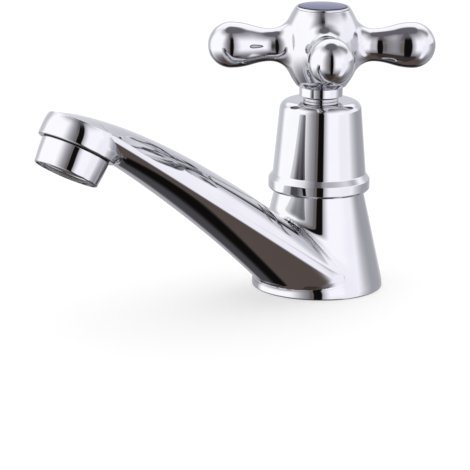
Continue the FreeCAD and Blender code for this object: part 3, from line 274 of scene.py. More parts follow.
# %% [markdown]
# ## The pillar
# The pillar is a cone on a low upright foot, bored from above for the valve and tapped from below for the
# supply pipe. Three profiles follow each other: up the valve's bore to the top, over the edge and down
# the cone, and under the foot with its seal groove. The cone has the finest steps, because the spout
# grows out of it. The pipe thread is the same idea with a radius that also depends on the angle: a groove
# that climbs one pitch per turn and fades out at both ends.

# %% Pillar
FOOT_RADIUS, PILLAR_TOP = 23.5, 35.6
TOP_JOIN, FOOT_JOIN = 14.0, 21.5  # radii where one profile hands over to the next
PIPE_RADIUS, PIPE_START, PIPE_END = 9.3, 1.0, 8.5
SEAT_RADIUS, SEAT_LEVEL = 5.6, 10.5
CHAMBER_RADIUS, VALVE_THREAD, COLLAR_SEAT, COLLAR_LEVEL = 11.2, 10.2, 12.2, 34.0
GROOVE_OUTSIDE, GROOVE_INSIDE, GROOVE_TOP = 19.1, 15.5, 2.2
PILLAR_COLUMNS = 289
bore = rounded(
    (PIPE_RADIUS, PIPE_END), (SEAT_RADIUS, PIPE_END, 0.3), (SEAT_RADIUS, SEAT_LEVEL, 0.3),
    (CHAMBER_RADIUS, SEAT_LEVEL, 0.5), (CHAMBER_RADIUS, 25.0), (VALVE_THREAD, 25.5),
    (VALVE_THREAD, COLLAR_LEVEL), (COLLAR_SEAT, COLLAR_LEVEL), (COLLAR_SEAT, PILLAR_TOP, 0.2),
    (TOP_JOIN, PILLAR_TOP))
wall = rounded(
    (TOP_JOIN, PILLAR_TOP), (15.9, PILLAR_TOP, 0.3), (23.42, 2.4, 9.0), (FOOT_RADIUS, 0, 0.6),
    (FOOT_JOIN, 0), step=0.5)
underside = rounded(
    (FOOT_JOIN, 0), (GROOVE_OUTSIDE, 0, 0.2), (GROOVE_OUTSIDE, GROOVE_TOP), (GROOVE_INSIDE, GROOVE_TOP),
    (GROOVE_INSIDE, 0, 0.2), (10.5, 0, 0.2), (PIPE_RADIUS, PIPE_START))


def pipe_thread(radius=PIPE_RADIUS, depth=1.1, pitch=1.814, start=PIPE_START, end=PIPE_END, rows=56):
    """A tapped wall: radius + depth * (cos of the climb)^2, faded in and out over one pitch at each end."""
    angle = np.linspace(0, 2 * np.pi, PILLAR_COLUMNS)
    height = np.linspace(start, end, rows)[:, None]
    fade = np.clip((height - start) / pitch, 0, 1) * np.clip((end - height) / pitch, 0, 1)
    bored = radius + depth * fade * np.cos(np.pi * height / pitch - angle / 2) ** 2
    return swung(bored, height, angle)


print("points up the bore, down the wall and under the foot:", len(bore), len(wall), len(underside))

# %% [markdown]
# ## The spout
# The spout is a long tongue with a lens-shaped section: a shallow crown above, a fuller belly below and a
# tight rounded shoulder on each side. A subdivided box would soften these lines, so the section is
# written with four arcs that touch each other, and its measures glide along the spout. At six places they
# give the height of the shoulders, and how far the crown lies above them and the belly below. Near the
# nose the width eases off, so that the shoulders run into the nose without a kink.

# %% Spout measures
ALONG = np.array([0, 20, 45.2, 70.3, 92.3, 108.2])
sides_fit = np.polyfit(ALONG, [1.65, 14.77, 31.2, 47.4, 61.42, 71.37], deg=4)
crown_fit = np.polyfit(ALONG, [10.3, 12.9, 13.73, 12.14, 8.74, 4.69], deg=4)
belly_fit = np.polyfit(ALONG, [20.2, 14.35, 9.2, 6.23, 5.41, 5.93], deg=4)


def half_width(along, tip=13.4, gain=0.0902, ease=6.0, pinch=0.9, root=14):
    """Half the spout's width: tip + gain * back^2 / (back + ease), where back is the way back from the tip,
    less pinch * e^-(along / root)^2 where the spout goes into the pillar."""
    back = ALONG[-1] - along
    return tip + gain * back ** 2 / (back + ease) - pinch * np.exp(-(along / root) ** 2)


def touching_arc(side, height, apex, shoulder):
    """Centre height and radius of the arc that passes the apex and touches both shoulder circles, which lie
    inside it. Its centre is as far from a shoulder's centre as from the point one shoulder radius in from
    the apex."""
    inner = apex - np.sign(apex - height) * shoulder
    centre = (inner ** 2 - height ** 2 - side ** 2) / (2 * (inner - height))
    return centre, np.abs(apex - centre)


def spout_section(along, share=0.22, loss=0.08):
    """Measures of the section there: the shoulder's side, height and radius, the crown's centre and radius,
    and the belly's centre and radius. The shoulder's radius is share - loss * (along / length)^2 of the half
    width."""
    height = np.polyval(sides_fit, along)
    shoulder = half_width(along) * (share - loss * (along / ALONG[-1]) ** 2)
    side = half_width(along) - shoulder
    crown = touching_arc(side, height, height + np.polyval(crown_fit, along), shoulder)
    belly = touching_arc(side, height, height - np.polyval(belly_fit, along), shoulder)
    return side, height, shoulder, *crown, *belly


print("spout half width at the root and the tip:", half_width(0.0), half_width(ALONG[-1]))


# %% Spout skin
def spout_skin(rows=220, broad=64, tight=26, lowest=0.4, clear=14.5):
    """Sections across the spout. Each goes round four touching arcs: crown, shoulder, belly, shoulder, with
    the angle counted from straight up. What would lie below the lowest level is laid flat, and what would
    lie nearer than the clear radius to the pillar's axis is pushed forward, out of the valve's bore. The
    second grid holds the directions straight out of the section."""
    along = np.linspace(0, ALONG[-1], rows)[:, None]
    side, height, shoulder, crown, crown_radius, belly, belly_radius = spout_section(along)
    over, under = np.arctan2(side, height - crown), np.arctan2(side, belly - height)
    wide, close = np.linspace(0, 1, broad), np.linspace(0, 1, tight)[1:-1]
    arcs = [(0, crown, crown_radius, -over + 2 * over * wide),
            (side, height, shoulder, over + (np.pi - under - over) * close),
            (0, belly, belly_radius, np.pi - under + 2 * under * wide),
            (-side, height, shoulder, np.pi + under + (np.pi - under - over) * close)]
    across = np.hstack([middle + radius * np.sin(angle) for middle, _, radius, angle in arcs])
    up = np.hstack([middle + radius * np.cos(angle) for _, middle, radius, angle in arcs])
    angle = np.hstack([angle for *_, angle in arcs])
    across, up, angle = (np.hstack([part, part[:, :1]]) for part in (across, up, angle))
    forward = np.maximum(along + 0 * across, np.sqrt(np.maximum(clear ** 2 - across ** 2, 0)))
    skin = np.stack([across, -forward, np.maximum(up, lowest)], axis=-1)
    return skin, np.stack([np.sin(angle), 0 * angle, np.cos(angle)], axis=-1)


print("points along and round the spout:", spout_skin()[0].shape[:2])

# %% [markdown]
# ## The nose
# At its end the casting turns down into a short cylinder that holds the aerator. Its axis leans back, and
# its wall draws in a little towards the top. Over it lies a low dome that is fuller at the back, where it
# carries on the crown of the spout. Each spoke of the grid comes out of the aerator's socket, goes over
# the rim and up the wall, round the edge and over the dome to the middle.

# %% Nose
NOSE_LEAN = np.radians(29.8)
NOSE_AXIS = np.array([0, np.sin(NOSE_LEAN), np.cos(NOSE_LEAN)])
NOSE_BACK = np.array([0, NOSE_AXIS[2], -NOSE_AXIS[1]])
NOSE_FRAME = np.array([(1, 0, 0), NOSE_BACK, NOSE_AXIS])
NOSE_RIM = np.array([0, -111.7, 65.3])
NOSE_RADIUS, NOSE_DRAW, NOSE_EDGE = 13.8, 0.58, 0.3
NOSE_CHAMBER, CHAMBER_TOP, SOCKET_RADIUS, SOCKET_TOP = 9.6, 8.0, 11.75, 6.4
RIM_JOIN, WALL_START = 12.8, 0.8


def in_nose(points):
    """Points of a turned grid placed with their height axis along the nose's axis, from the centre of its
    rim."""
    return NOSE_RIM + points @ NOSE_FRAME


def soft_step(value, start, end):
    """0 up to start, 1 from end, and 3t^2 - 2t^3 between them."""
    share = np.clip((value - start) / (end - start), 0, 1)
    return share * share * (3 - 2 * share)


def crown_height(angle, radius, edge=7.7, middle=3.75, lean=0.12, sink=0.35, dive=(0.05, 0.4)):
    """Height of the dome above the rim: edge + (middle + lean * distance to the back) * (1 - out), where out
    is (radius / R)^2. At the back the edge sinks by up to sink * out, and so dives under the spout's
    shoulders."""
    out = (radius / NOSE_RADIUS) ** 2
    dome = (middle + lean * radius * np.sin(angle)) * (1 - out)
    return edge + dome - sink * out * soft_step(np.sin(angle), *dive)


def nose_skin(columns=241, wall_rows=34, edge_rows=16, dome_rows=30):
    """Socket, rim, wall, edge and dome. The wall draws in by draw * rise^4 on its way up. On the edge the
    radius falls by the sine of a quarter turn and the height below the dome by one less its cosine. The
    second grid holds the directions straight out from the axis, and nothing in the socket."""
    angle = np.linspace(0, 2 * np.pi, columns)
    socket = rounded(
        (0, CHAMBER_TOP), (NOSE_CHAMBER, CHAMBER_TOP), (NOSE_CHAMBER, SOCKET_TOP),
        (SOCKET_RADIUS, SOCKET_TOP), (SOCKET_RADIUS, 0, 0.25), (RIM_JOIN, 0))
    rim = rounded((RIM_JOIN, 0), (NOSE_RADIUS, 0, 0.5), (NOSE_RADIUS, WALL_START))
    even = [np.broadcast_to(part[:, None, :], (len(part), columns, 2)) for part in (socket, rim)]
    shoulder = NOSE_RADIUS - NOSE_DRAW
    top = crown_height(angle, shoulder + 0 * angle) - NOSE_EDGE
    rise = np.linspace(0, 1, wall_rows)[1:, None] + 0 * angle
    drawn_in = NOSE_RADIUS - NOSE_DRAW * rise ** 4
    upright = np.stack([drawn_in, WALL_START + rise * (top - WALL_START)], axis=-1)
    quarter = np.linspace(np.pi / 2, 0, edge_rows)[1:, None]
    bend = shoulder - NOSE_EDGE + NOSE_EDGE * np.sin(quarter) + 0 * angle
    edge = np.stack([bend, crown_height(angle, bend) - NOSE_EDGE * (1 - np.cos(quarter))], axis=-1)
    inward = (shoulder - NOSE_EDGE) * np.linspace(0.99, 0, dome_rows)[:, None] + 0 * angle
    dome = np.stack([inward, crown_height(angle, inward)], axis=-1)
    profile = np.concatenate([*even, upright, edge, dome])
    radius, height = profile[..., 0], profile[..., 1]
    outside = (np.arange(len(radius)) >= len(socket))[:, None, None]
    outward = np.broadcast_to(swung(1, 0, angle) @ NOSE_FRAME, (*radius.shape, 3)) * outside
    return in_nose(swung(radius, height, angle)), outward


print("nose axis:", NOSE_AXIS.round(3), "rim centre:", NOSE_RIM)

# %% [markdown]
# ## Cast fillets
# Corners between the forms of a casting are rounded, because molten brass fills a rounded mould better
# and cracks less as it shrinks. Polishing softens them further, so chrome bends its reflections there
# instead of breaking them. A bevel on a joined mesh would need a clean edge first. Here each form has a
# formula for how far a point lies outside it. Where two such distances are nearly equal, both skins swell
# by the same amount, and so they meet on one smooth surface: the fillet.

# %% Distances outside the forms
def off_pillar(points):
    """Distance from the pillar's axis less the wall's radius at that height."""
    wall_radius = np.interp(points[..., 2], wall[::-1, 1], wall[::-1, 0])
    return np.hypot(points[..., 0], points[..., 1]) - wall_radius


def off_spout(points, slope=0.85, behind=0.6):
    """Distance outside the spout's section: from the crown or the belly where the point lies in that arc's
    wedge, and else from the shoulder. The spout climbs, so its skin is nearer than its section is, by the
    cosine of the slope. Behind the root and beyond the tip the distance grows with the way along."""
    across, along, up = np.abs(points[..., 0]), -points[..., 1], points[..., 2]
    section = spout_section(np.clip(along, 0, ALONG[-1]))
    side, height, shoulder, crown, crown_radius, belly, belly_radius = section
    above = np.arctan2(across, up - crown) < np.arctan2(side, height - crown)
    below = np.arctan2(across, belly - up) < np.arctan2(side, belly - height)
    over_crown = np.hypot(across, up - crown) - crown_radius
    under_belly = np.hypot(across, up - belly) - belly_radius
    beside = np.hypot(across - side, up - height) - shoulder
    cases = [np.maximum(over_crown, under_belly), over_crown, under_belly]
    away = np.select([above & below, above, below], cases, beside)
    return slope * away + behind * np.maximum(-along, 0) + np.maximum(along - ALONG[-1], 0)


def off_nose(points):
    """Distance from the nose's axis less its radius."""
    aside = (points - NOSE_RIM) - ((points - NOSE_RIM) @ NOSE_AXIS)[..., None] * NOSE_AXIS
    return np.linalg.norm(aside, axis=-1) - NOSE_RADIUS


sample = np.array([30.0, 0, 10])
print("a point at", sample, "lies outside the pillar by", off_pillar(sample).round(2), "mm")

# %% Swelling into a fillet
def fillet(first, second, width, least=1e-6):
    """How far both skins swell: (width - difference of the distances)^2 / (4 width), and not at all beyond
    the width."""
    return np.maximum(width - np.abs(first - second), 0) ** 2 / (4 * np.maximum(width, least))


def root_fillet(points, low=1.5, high=4.2, broadens=(5, 15), ends=(31, 34.5)):
    """Fillet between pillar and spout: broad beside the crown, narrow at the foot, and none under the
    shroud."""
    level = points[..., 2]
    width = (low + (high - low) * soft_step(level, *broadens)) * (1 - soft_step(level, *ends))
    return fillet(off_pillar(points), off_spout(points), width)


def nose_fillet(points, width=4.0, begins=(0, 1.2), ends=(2.8, 5.6)):
    """Fillet between spout and nose: none at the rim, nor above the shoulders, where the two run
    together."""
    level = (points - NOSE_RIM) @ NOSE_AXIS
    width = width * soft_step(level, *begins) * (1 - soft_step(level, *ends))
    return fillet(off_nose(points), off_spout(points), width)


def swollen(skin, outward, off, *fillets, rounds=30, pace=0.8, least=1e-4):
    """The skin moved outwards until it lies as far outside its form as the fillets ask for there: each round
    adds a share of what is still lacking."""
    moved, own = skin, off(skin)
    for _ in range(rounds):
        lack = sum(part(moved) for part in fillets) - (off(moved) - own)
        moved = moved + pace * lack[..., None] * outward
    touched = sum(part(moved) for part in fillets) > least
    return np.where(touched[..., None], moved, skin)


print("swell of a 4 mm fillet where both distances are equal:", fillet(0.0, 0.0, 4.0))

# %% The casting
SWELLS_FROM, SWELLS_TO = (0.5, 1.5), 35  # heights between which the pillar's skin may swell
ROOT_POLE, TIP_POLE = (0, -16.0, 6.0), (0, -107.5, 73.5)
pillar_skin = turned(wall, PILLAR_COLUMNS)
level = pillar_skin[..., 2:]
straight_out = swung(1, 0, np.linspace(0, 2 * np.pi, PILLAR_COLUMNS))
pillar_out = straight_out * (soft_step(level, *SWELLS_FROM) * (level < SWELLS_TO))
pillar_grid = swollen(pillar_skin, pillar_out, off_pillar, root_fillet)
inner_grids = [turned(part, PILLAR_COLUMNS) for part in (bore, underside)]
pillar = make_piece("pillar", [pillar_grid, *inner_grids, pipe_thread()])
dress(pillar, "tap_body", chrome, "chrome", "body_casting")
spout_grid = swollen(*spout_skin(), off_spout, root_fillet, nose_fillet)
root, tip = (np.full((1, spout_grid.shape[1], 3), pole) for pole in (ROOT_POLE, TIP_POLE))
spout = make_piece("spout", [np.concatenate([root, spout_grid, tip])], crease=50)
dress(spout, "tap_body", chrome, "chrome")
nose = make_piece("nose", [swollen(*nose_skin(), off_nose, nose_fillet)])
dress(nose, "tap_body", chrome, "chrome")

# %% [markdown]
# ## Shroud and ring
# The shroud is a thin bell that hides the valve. A flange with a sloping top meets the pillar, the side
# tapers, and a generous rounding leads to a flat top with a hole for the valve's neck, where a small ring
# nut holds it down. Both are hollow, so their profiles go back down the inside.

# %% Shroud and ring
BELL_TOP, BELL_CEILING, FLANGE_RADIUS, BELL_BORE = 68.0, 65.4, 18.2, 14.6
VALVE_HOLE, NUT_BORE, NUT_RADIUS, NUT_MIDDLE, NUT_TOP = 5.45, 5.25, 6.3, 68.6, 69.2
bell = rounded(
    (BELL_BORE, PILLAR_TOP), (17.4, PILLAR_TOP, 0.3), (FLANGE_RADIUS, 36.4, 0.6), (FLANGE_RADIUS, 39.7, 0.8),
    (16.73, 41.8, 1.0), (14.42, BELL_TOP, 3.3), (VALVE_HOLE, BELL_TOP, 0.25),
    (VALVE_HOLE, BELL_CEILING), (12.5, BELL_CEILING, 1.0), (BELL_BORE, 41.0, 0.5),
    (BELL_BORE, PILLAR_TOP), steps=14)
shroud = make_piece("bell_shroud", [turned(bell, columns=241)])
dress(shroud, "tap_body", chrome, "chrome", "shroud")
nut = rounded(
    (NUT_BORE, NUT_MIDDLE), (NUT_BORE, BELL_TOP), (NUT_RADIUS, BELL_TOP, 0.15), (NUT_RADIUS, NUT_TOP, 0.4),
    (NUT_BORE, NUT_TOP, 0.15), (NUT_BORE, NUT_MIDDLE))
ring_nut = make_piece("ring_nut", [turned(nut)])
dress(ring_nut, "tap_body", chrome, "chrome", "shroud_ring")

# %% [markdown]
# ## The cross handle
# The handle is one casting: a barrel-shaped hub and four arms that leave it in a hollow curve, swell like
# clubs and end in balls. Boolean joins leave ragged triangles just where chrome shows them most, so each
# quarter is one grid instead. Its rows start at the tip of the ball, run down the arm, round the hollow
# and out over the hub to the edges of that quarter. The hollow is a circle that rolls in the corner
# between the arm and the hub and touches both.

# %% Hub and arm formulas
ARM_LEVEL, HUB_FOOT, HUB_TOP = 87.85, 73.4, 101.0
HUB_FOOT_RADIUS, BELLY, BELLY_LEVEL, HUB_TOP_RADIUS, HUB_EDGE = 8.9, 13.95, 87.3, 10.0, 0.35
BALL_AT, BALL_RADIUS, CLUB_LENGTH, CLUB_LOSS = 32.4, 8.2, 7.0, 1.05
NECK_LENGTH, NECK_LOSS, NECK_SLOPE = 6.8, 1.3, 0.3
WAIST, HOLLOW = 5.85, 7.4


def circle_through(points):
    """Centre and radius of the circle through three points: the centre is as far from the first as from the
    others."""
    first, others = points[0], points[1:]
    centre = np.linalg.solve(2 * (others - first), (others ** 2).sum(axis=1) - (first ** 2).sum())
    return centre, np.linalg.norm(first - centre)


BARREL_CENTRE, BARREL_RADIUS = circle_through(np.array(
    [(HUB_FOOT_RADIUS, HUB_FOOT), (BELLY, BELLY_LEVEL), (HUB_TOP_RADIUS, HUB_TOP)]))


def hub_radius(height):
    """Radius of the barrel at a height: that of its circle's centre plus the root of R^2 - rise^2, where
    rise is the height above that centre."""
    return BARREL_CENTRE[0] + np.sqrt(BARREL_RADIUS ** 2 - (height - BARREL_CENTRE[1]) ** 2)


def hub_reach(radius, turn):
    """How far out the hub lies on a line along the arm, at a radius and turn about the arm's axis."""
    sideways, upward = radius * np.cos(turn), radius * np.sin(turn)
    return np.sqrt(hub_radius(ARM_LEVEL + upward) ** 2 - sideways ** 2)


def arm_profile(ball_rows=34, cubic_rows=18):
    """Distance and radius from the ball's tip to the waist: a quarter circle, then two cubics. The first
    starts level, the second ends level, and they join at the neck's slope."""
    turn = np.linspace(0, np.pi / 2, ball_rows)
    share = np.linspace(0, 1, cubic_rows)[1:]
    club_end, club_radius = BALL_AT - CLUB_LENGTH, BALL_RADIUS - CLUB_LOSS
    club_slope, neck_slope = NECK_SLOPE * CLUB_LENGTH, NECK_SLOPE * NECK_LENGTH
    fall = 3 * share ** 2 - 2 * share ** 3
    ball = BALL_AT + BALL_RADIUS * np.cos(turn)
    distance = np.concatenate([ball, BALL_AT - CLUB_LENGTH * share, club_end - NECK_LENGTH * share])
    club = BALL_RADIUS - CLUB_LOSS * fall - club_slope * (share ** 3 - share ** 2)
    neck = club_radius - neck_slope * (share ** 3 - 2 * share ** 2 + share) - NECK_LOSS * fall
    return distance, np.concatenate([BALL_RADIUS * np.sin(turn), club, neck])


print("barrel of the hub: centre", np.round(BARREL_CENTRE, 2), "radius", round(float(BARREL_RADIUS), 2))

# %% Quarter of the handle
QUARTER_EDGE = np.linspace(-1, 1, 33)


def quarter_border():
    """The quarter's border on the hub, once round: bearing from the arm and height from the arm's level."""
    side, low, high = np.radians(45), HUB_FOOT - ARM_LEVEL, HUB_TOP - HUB_EDGE - ARM_LEVEL
    climb = low + (high - low) * (QUARTER_EDGE + 1) / 2
    still = 0 * climb[1:]
    bearing = np.concatenate([side * QUARTER_EDGE, side + still, -side * QUARTER_EDGE[1:], -side + still])
    height = np.concatenate([low + 0 * climb, climb[1:], high + still, climb[::-1][1:]])
    return bearing, height


def hollow_contact(turn, rounds=30, nudge=0.01):
    """Radius where the rolling circle touches the hub, and the hub's lean there. The radius is found by
    repeating: the radius of the circle's centre less the circle's own radius times the sine of the lean."""
    contact = np.full_like(turn, WAIST + HOLLOW / 2)
    for _ in range(rounds):
        slope = (hub_reach(contact + nudge, turn) - hub_reach(contact - nudge, turn)) / (2 * nudge)
        lean = np.arctan(-slope)
        contact = WAIST + HOLLOW - HOLLOW * np.sin(lean)
    return contact, lean


def handle_quarter(bearing, shank_rows=5, hollow_rows=18, hub_rows=24):
    """Ball, club and neck, a straight shank, then the rolling circle's arc, then straight lines on the
    unrolled hub to the border, all turned to the arm's bearing."""
    border_bearing, border_height = quarter_border()
    turn = np.arctan2(border_height, BELLY * border_bearing)
    contact, lean = hollow_contact(turn)
    centre = hub_reach(contact, turn) + HOLLOW * np.cos(lean)
    distance, radius = (np.repeat(part[:, None], len(turn), axis=1) for part in arm_profile())
    share = np.linspace(0, 1, shank_rows)[1:, None]
    shank = distance[-1] + (centre - distance[-1]) * share
    sweep = np.linspace(0, 1, hollow_rows)[1:, None] * (np.pi / 2 - lean)
    distance = np.concatenate([distance, shank, centre - HOLLOW * np.sin(sweep)])
    radius = np.concatenate([radius, WAIST + 0 * shank, WAIST + HOLLOW - HOLLOW * np.cos(sweep)])
    arm = np.stack([distance, radius * np.cos(turn), radius * np.sin(turn)], axis=-1)
    out = np.linspace(0, 1, hub_rows)[1:, None]
    start_bearing = np.arctan2(arm[-1, :, 1], arm[-1, :, 0])
    hub_bearing = start_bearing + (border_bearing - start_bearing) * out
    hub_height = arm[-1, :, 2] + (border_height - arm[-1, :, 2]) * out
    hub = swung(hub_radius(ARM_LEVEL + hub_height), hub_height, hub_bearing)
    forward, sideways, height = np.moveaxis(np.concatenate([arm, hub]), -1, 0)
    ahead, aside = np.cos(np.radians(bearing)), np.sin(np.radians(bearing))
    turned_skin = forward * ahead - sideways * aside, forward * aside + sideways * ahead, height + ARM_LEVEL
    return np.stack(turned_skin, axis=-1)


print("points down and round a quarter of the handle:", handle_quarter(0).shape[:2])

# %% [markdown]
# The rest of the handle is turned: over the rounded top edge, down through the recess of the cap, the
# well of the screw and the spline socket, out under the collar and up its side to the hub. Its columns
# stand at the same bearings as the borders of the four quarters, so the whole handle closes into one
# skin.

# %% Handle skin
ARM_BEARING = 52.3
CAP_RECESS, RECESS_LEVEL, SCREW_WELL, WELL_LEVEL, SCREW_HOLE = 8.3, 96.8, 4.8, 90.05, 2.15
SPLINE_RADIUS, SPLINE_TOP, SPLINE_FOOT = 3.75, 86.45, 72.35
COLLAR_BORE, COLLAR_RADIUS, COLLAR_FOOT = 6.2, 7.8, 69.55
QUARTERS = ARM_BEARING + 90 * np.arange(4)
top_radius = hub_radius(HUB_TOP - HUB_EDGE)
bores = rounded(
    (top_radius, HUB_TOP - HUB_EDGE), (top_radius - 0.18, HUB_TOP, 0.22), (CAP_RECESS, HUB_TOP, 0.1),
    (CAP_RECESS, RECESS_LEVEL), (SCREW_WELL, RECESS_LEVEL), (SCREW_WELL, WELL_LEVEL),
    (SCREW_HOLE, WELL_LEVEL), (SCREW_HOLE, SPLINE_TOP),
    (SPLINE_RADIUS, SPLINE_TOP), (SPLINE_RADIUS, SPLINE_FOOT),
    (COLLAR_BORE, SPLINE_FOOT), (COLLAR_BORE, COLLAR_FOOT, 0.2), (COLLAR_RADIUS, COLLAR_FOOT, 0.35),
    (COLLAR_RADIUS, 72.95, 0.3), (HUB_FOOT_RADIUS, HUB_FOOT))
bearings = np.radians(np.concatenate([quarter + 45 * QUARTER_EDGE[:-1] for quarter in QUARTERS]))
bearings = np.append(bearings, bearings[0])
inner = swung(bores[:, :1], bores[:, 1:], bearings)
handle = make_piece("handle_cross", [*map(handle_quarter, QUARTERS), inner], crease=28)
dress(handle, "handle", chrome, "chrome", "cross_handle")

# %% [markdown]
# ## Index cap and disc
# The screw hides under a chromed cap with a raised rim, and the blue disc lies in the rim. The disc is
# slightly domed, so that its middle catches the light, and its edge goes dark from the dome and from the
# painted shade in its material.

# %% Index cap and disc
CAP_FOOT, PLUG_RADIUS, RIM_RADIUS, RIM_TOP, RIM_BORE, DISC_SEAT = 97.6, 8.2, 9.7, 101.72, 8.85, 101.1
DISC_FOOT, DISC_RADIUS, DOME_RADIUS, DOME_FOOT, DOME_RISE = 101.22, 8.74, 8.4, 102.0, 0.35
cap = rounded(
    (0, CAP_FOOT), (PLUG_RADIUS, CAP_FOOT, 0.2), (PLUG_RADIUS, HUB_TOP), (RIM_RADIUS, HUB_TOP, 0.12),
    (RIM_RADIUS, RIM_TOP, 0.36), (RIM_BORE, RIM_TOP, 0.3), (RIM_BORE, DISC_SEAT), (0, DISC_SEAT))
index_rim = make_piece("index_rim", [turned(cap)])
dress(index_rim, "handle", chrome, "chrome", "index_cap")
inward = np.linspace(0, 1, 24)
dome = np.stack([DOME_RADIUS * (1 - inward), DOME_FOOT + DOME_RISE * (1 - (1 - inward) ** 2)], axis=-1)
edge = rounded(
    (0, DISC_FOOT), (DISC_RADIUS, DISC_FOOT), (DISC_RADIUS, 101.96, 0.3), (DOME_RADIUS, DOME_FOOT))
index_badge = make_piece("index_badge", [turned(np.concatenate([edge, dome[1:]]))], crease=40)
dress(index_badge, "handle", index_plastic, "blue_plastic", "index_disc")

# %% [markdown]
# ## The aerator
# The aerator housing screws into the nose and leaves a thin shadow line under the rim. Its skirt tapers
# to a rounded mouth, and inside lies a ledge with the plastic cassette and the woven mesh. The threaded
# part is a piece of its own, because it carries painted shade: a near-black finish that darkens that
# shadow line. A flat disc with a picture of a mesh would look dead here, so the weave is real: two sets
# of wires that rise and fall past each other like a cosine, one step out of phase from wire to wire. Its
# pitch of 0.55 mm is about as fine as it can be drawn and still show.

# %% Aerator housing
HOUSING_BORE, THREAD_OUTSIDE, SKIRT_TOP, MOUTH_LEVEL, MOUTH_BORE = 10.5, 11.6, -0.3, -9.2, 10.55
LEDGE_BORE, LEDGE_FOOT, LEDGE_TOP, BORE_MIDDLE = 9.9, -7.6, -6.8, -3.0
skirt = rounded(
    (HOUSING_BORE, BORE_MIDDLE), (HOUSING_BORE, SKIRT_TOP), (12.0, SKIRT_TOP, 0.3), (11.75, -4.8, 80.0),
    (11.27, MOUTH_LEVEL, 0.62), (MOUTH_BORE, MOUTH_LEVEL, 0.12), (MOUTH_BORE, LEDGE_FOOT),
    (LEDGE_BORE, LEDGE_FOOT, 0.15), (LEDGE_BORE, LEDGE_TOP), (HOUSING_BORE, LEDGE_TOP),
    (HOUSING_BORE, BORE_MIDDLE))
aerator_skirt = make_piece("aerator_skirt", [in_nose(turned(skirt))])
dress(aerator_skirt, "tap_body", chrome, "chrome", "aerator_housing")
THREAD_FOOT, THREAD_MIDDLE, THREAD_TOP = -0.28, 2.0, 5.0
thread = rounded(
    (HOUSING_BORE, THREAD_MIDDLE), (HOUSING_BORE, THREAD_FOOT), (THREAD_OUTSIDE, THREAD_FOOT),
    (THREAD_OUTSIDE, THREAD_TOP, 0.2), (HOUSING_BORE, THREAD_TOP), (HOUSING_BORE, THREAD_MIDDLE))
aerator_thread = make_piece("aerator_thread", [in_nose(turned(thread))])
# painted shade: the thread takes the near-black finish for the shadow in the gap under the rim
dress(aerator_thread, "tap_body", painted_thread_shade, "chrome", "aerator_housing")


# %% Woven mesh
def wires(across_first, reach=8.75, pitch=0.55, thick=0.13, level=-5.8, steps=73, sides=7):
    """Tubes side by side at one pitch, each as long as its chord of the disc, whose height is thick times
    the cosine of half a turn per pitch. The other set lies across and starts with the opposite sign."""
    count = int(reach / pitch)
    number = np.arange(-count, count + 1)[:, None, None]
    offset = number * pitch
    chord = np.sqrt(reach ** 2 - offset ** 2)
    length = chord * np.linspace(-1, 1, steps)[None, :, None]
    turn = np.linspace(0, 2 * np.pi, sides)[None, None, :]
    sign = 1 if across_first else -1
    height = level + sign * thick * np.cos(np.pi * (length / pitch + number)) + thick * np.sin(turn)
    beside = offset + thick * np.cos(turn) + 0 * length
    length = length + 0 * turn + 0 * offset
    order = (beside, length, height) if across_first else (length, beside, height)
    return in_nose(np.stack(order, axis=-1))


weave = make_piece("woven_mesh", [*wires(True), *wires(False)], crease=80)
dress(weave, "tap_body", wire, "steel_mesh", "aerator_mesh")

# %% [markdown]
# ## Pieces that keep their CAD form
# The washer, the cassette and the jet former show only a little through the aerator, and the valve shows
# only when the tap is taken apart. Their solids are right as they are, so each just gets the finish of
# its material.

# %% Finishes of the inner pieces
by_slot = {"chrome": chrome, "brass": brass, "steel": steel, "steel_mesh": wire, "black_rubber": rubber,
           "ceramic": ceramic, "white_plastic": acetal, "blue_plastic": index_plastic}
by_material = {}
for node_name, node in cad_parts.items():
    old = node.data.materials[0].name.split(".")[0] if node.data.materials else ""
    by_material.setdefault(old, []).append(node_name)
    if old in by_slot:
        node.data.materials[0] = by_slot[old]
print("inner pieces by finish:", by_material)

# %% [markdown]
# ## Floor and tent
# A mirror shows its surroundings, so the studio is half of the picture. The tap stands on a pale floor
# inside a white tent with a large soft light on either side. Polished metal only reads as metal when the
# tent also has dark parts: a narrow gap in front, where the lens looks in, a dim roof, and a dark table
# below. Separate cards would draw hard outlines on the chrome, so the tent is one ball whose tone fades
# from part to part. The floor is paper that gives part of its white itself, so it stays pale without more
# light on the tap, and what it takes from the lamps keeps the shadow.

# %% Floor
def seen_straight(tree):
    """1 for rays that see a surface straight from the lens, in a mirror or through glass, and 0 for
    scattered light."""
    rays = add(tree, "ShaderNodeLightPath").outputs
    seen = rays["Is Camera Ray"]
    for kind in ("Is Glossy Ray", "Is Transmission Ray"):
        seen = add(tree, "ShaderNodeMath", {0: seen, 1: rays[kind]}, operation="MAXIMUM").outputs[0]
    return seen


FLOOR_REACH, FLOOR_LEVEL, PAPER_GLOW = 4000, -0.05, 0.45
spread = np.linspace(-FLOOR_REACH, FLOOR_REACH, 9)
beside, ahead = np.meshgrid(spread, spread)
floor = make_piece("floor", [np.stack([beside, ahead, FLOOR_LEVEL + 0 * beside], axis=-1)])
paper = finish("pale_paper", ("#C4C4C4", "#C2C2C2"), (0.7, 0.9), 4.0, 0.01, Emission_Color=srgb("#FFFFFF"))
tree = paper.node_tree
share = add(tree, "ShaderNodeMath", {0: seen_straight(tree), 1: PAPER_GLOW}, operation="MULTIPLY")
tree.links.new(share.outputs[0], tree.nodes["Principled BSDF"].inputs["Emission Strength"])
floor.data.materials.append(paper)
floor.visible_glossy = False

# %% [markdown]
# Each part of the tent has a tone, a bearing in degrees to the right of the lens, and a fade: four angles
# where it starts, is full, is full for the last time and ends, first sideways from its bearing and then
# upwards from level. Later parts lie over earlier ones.

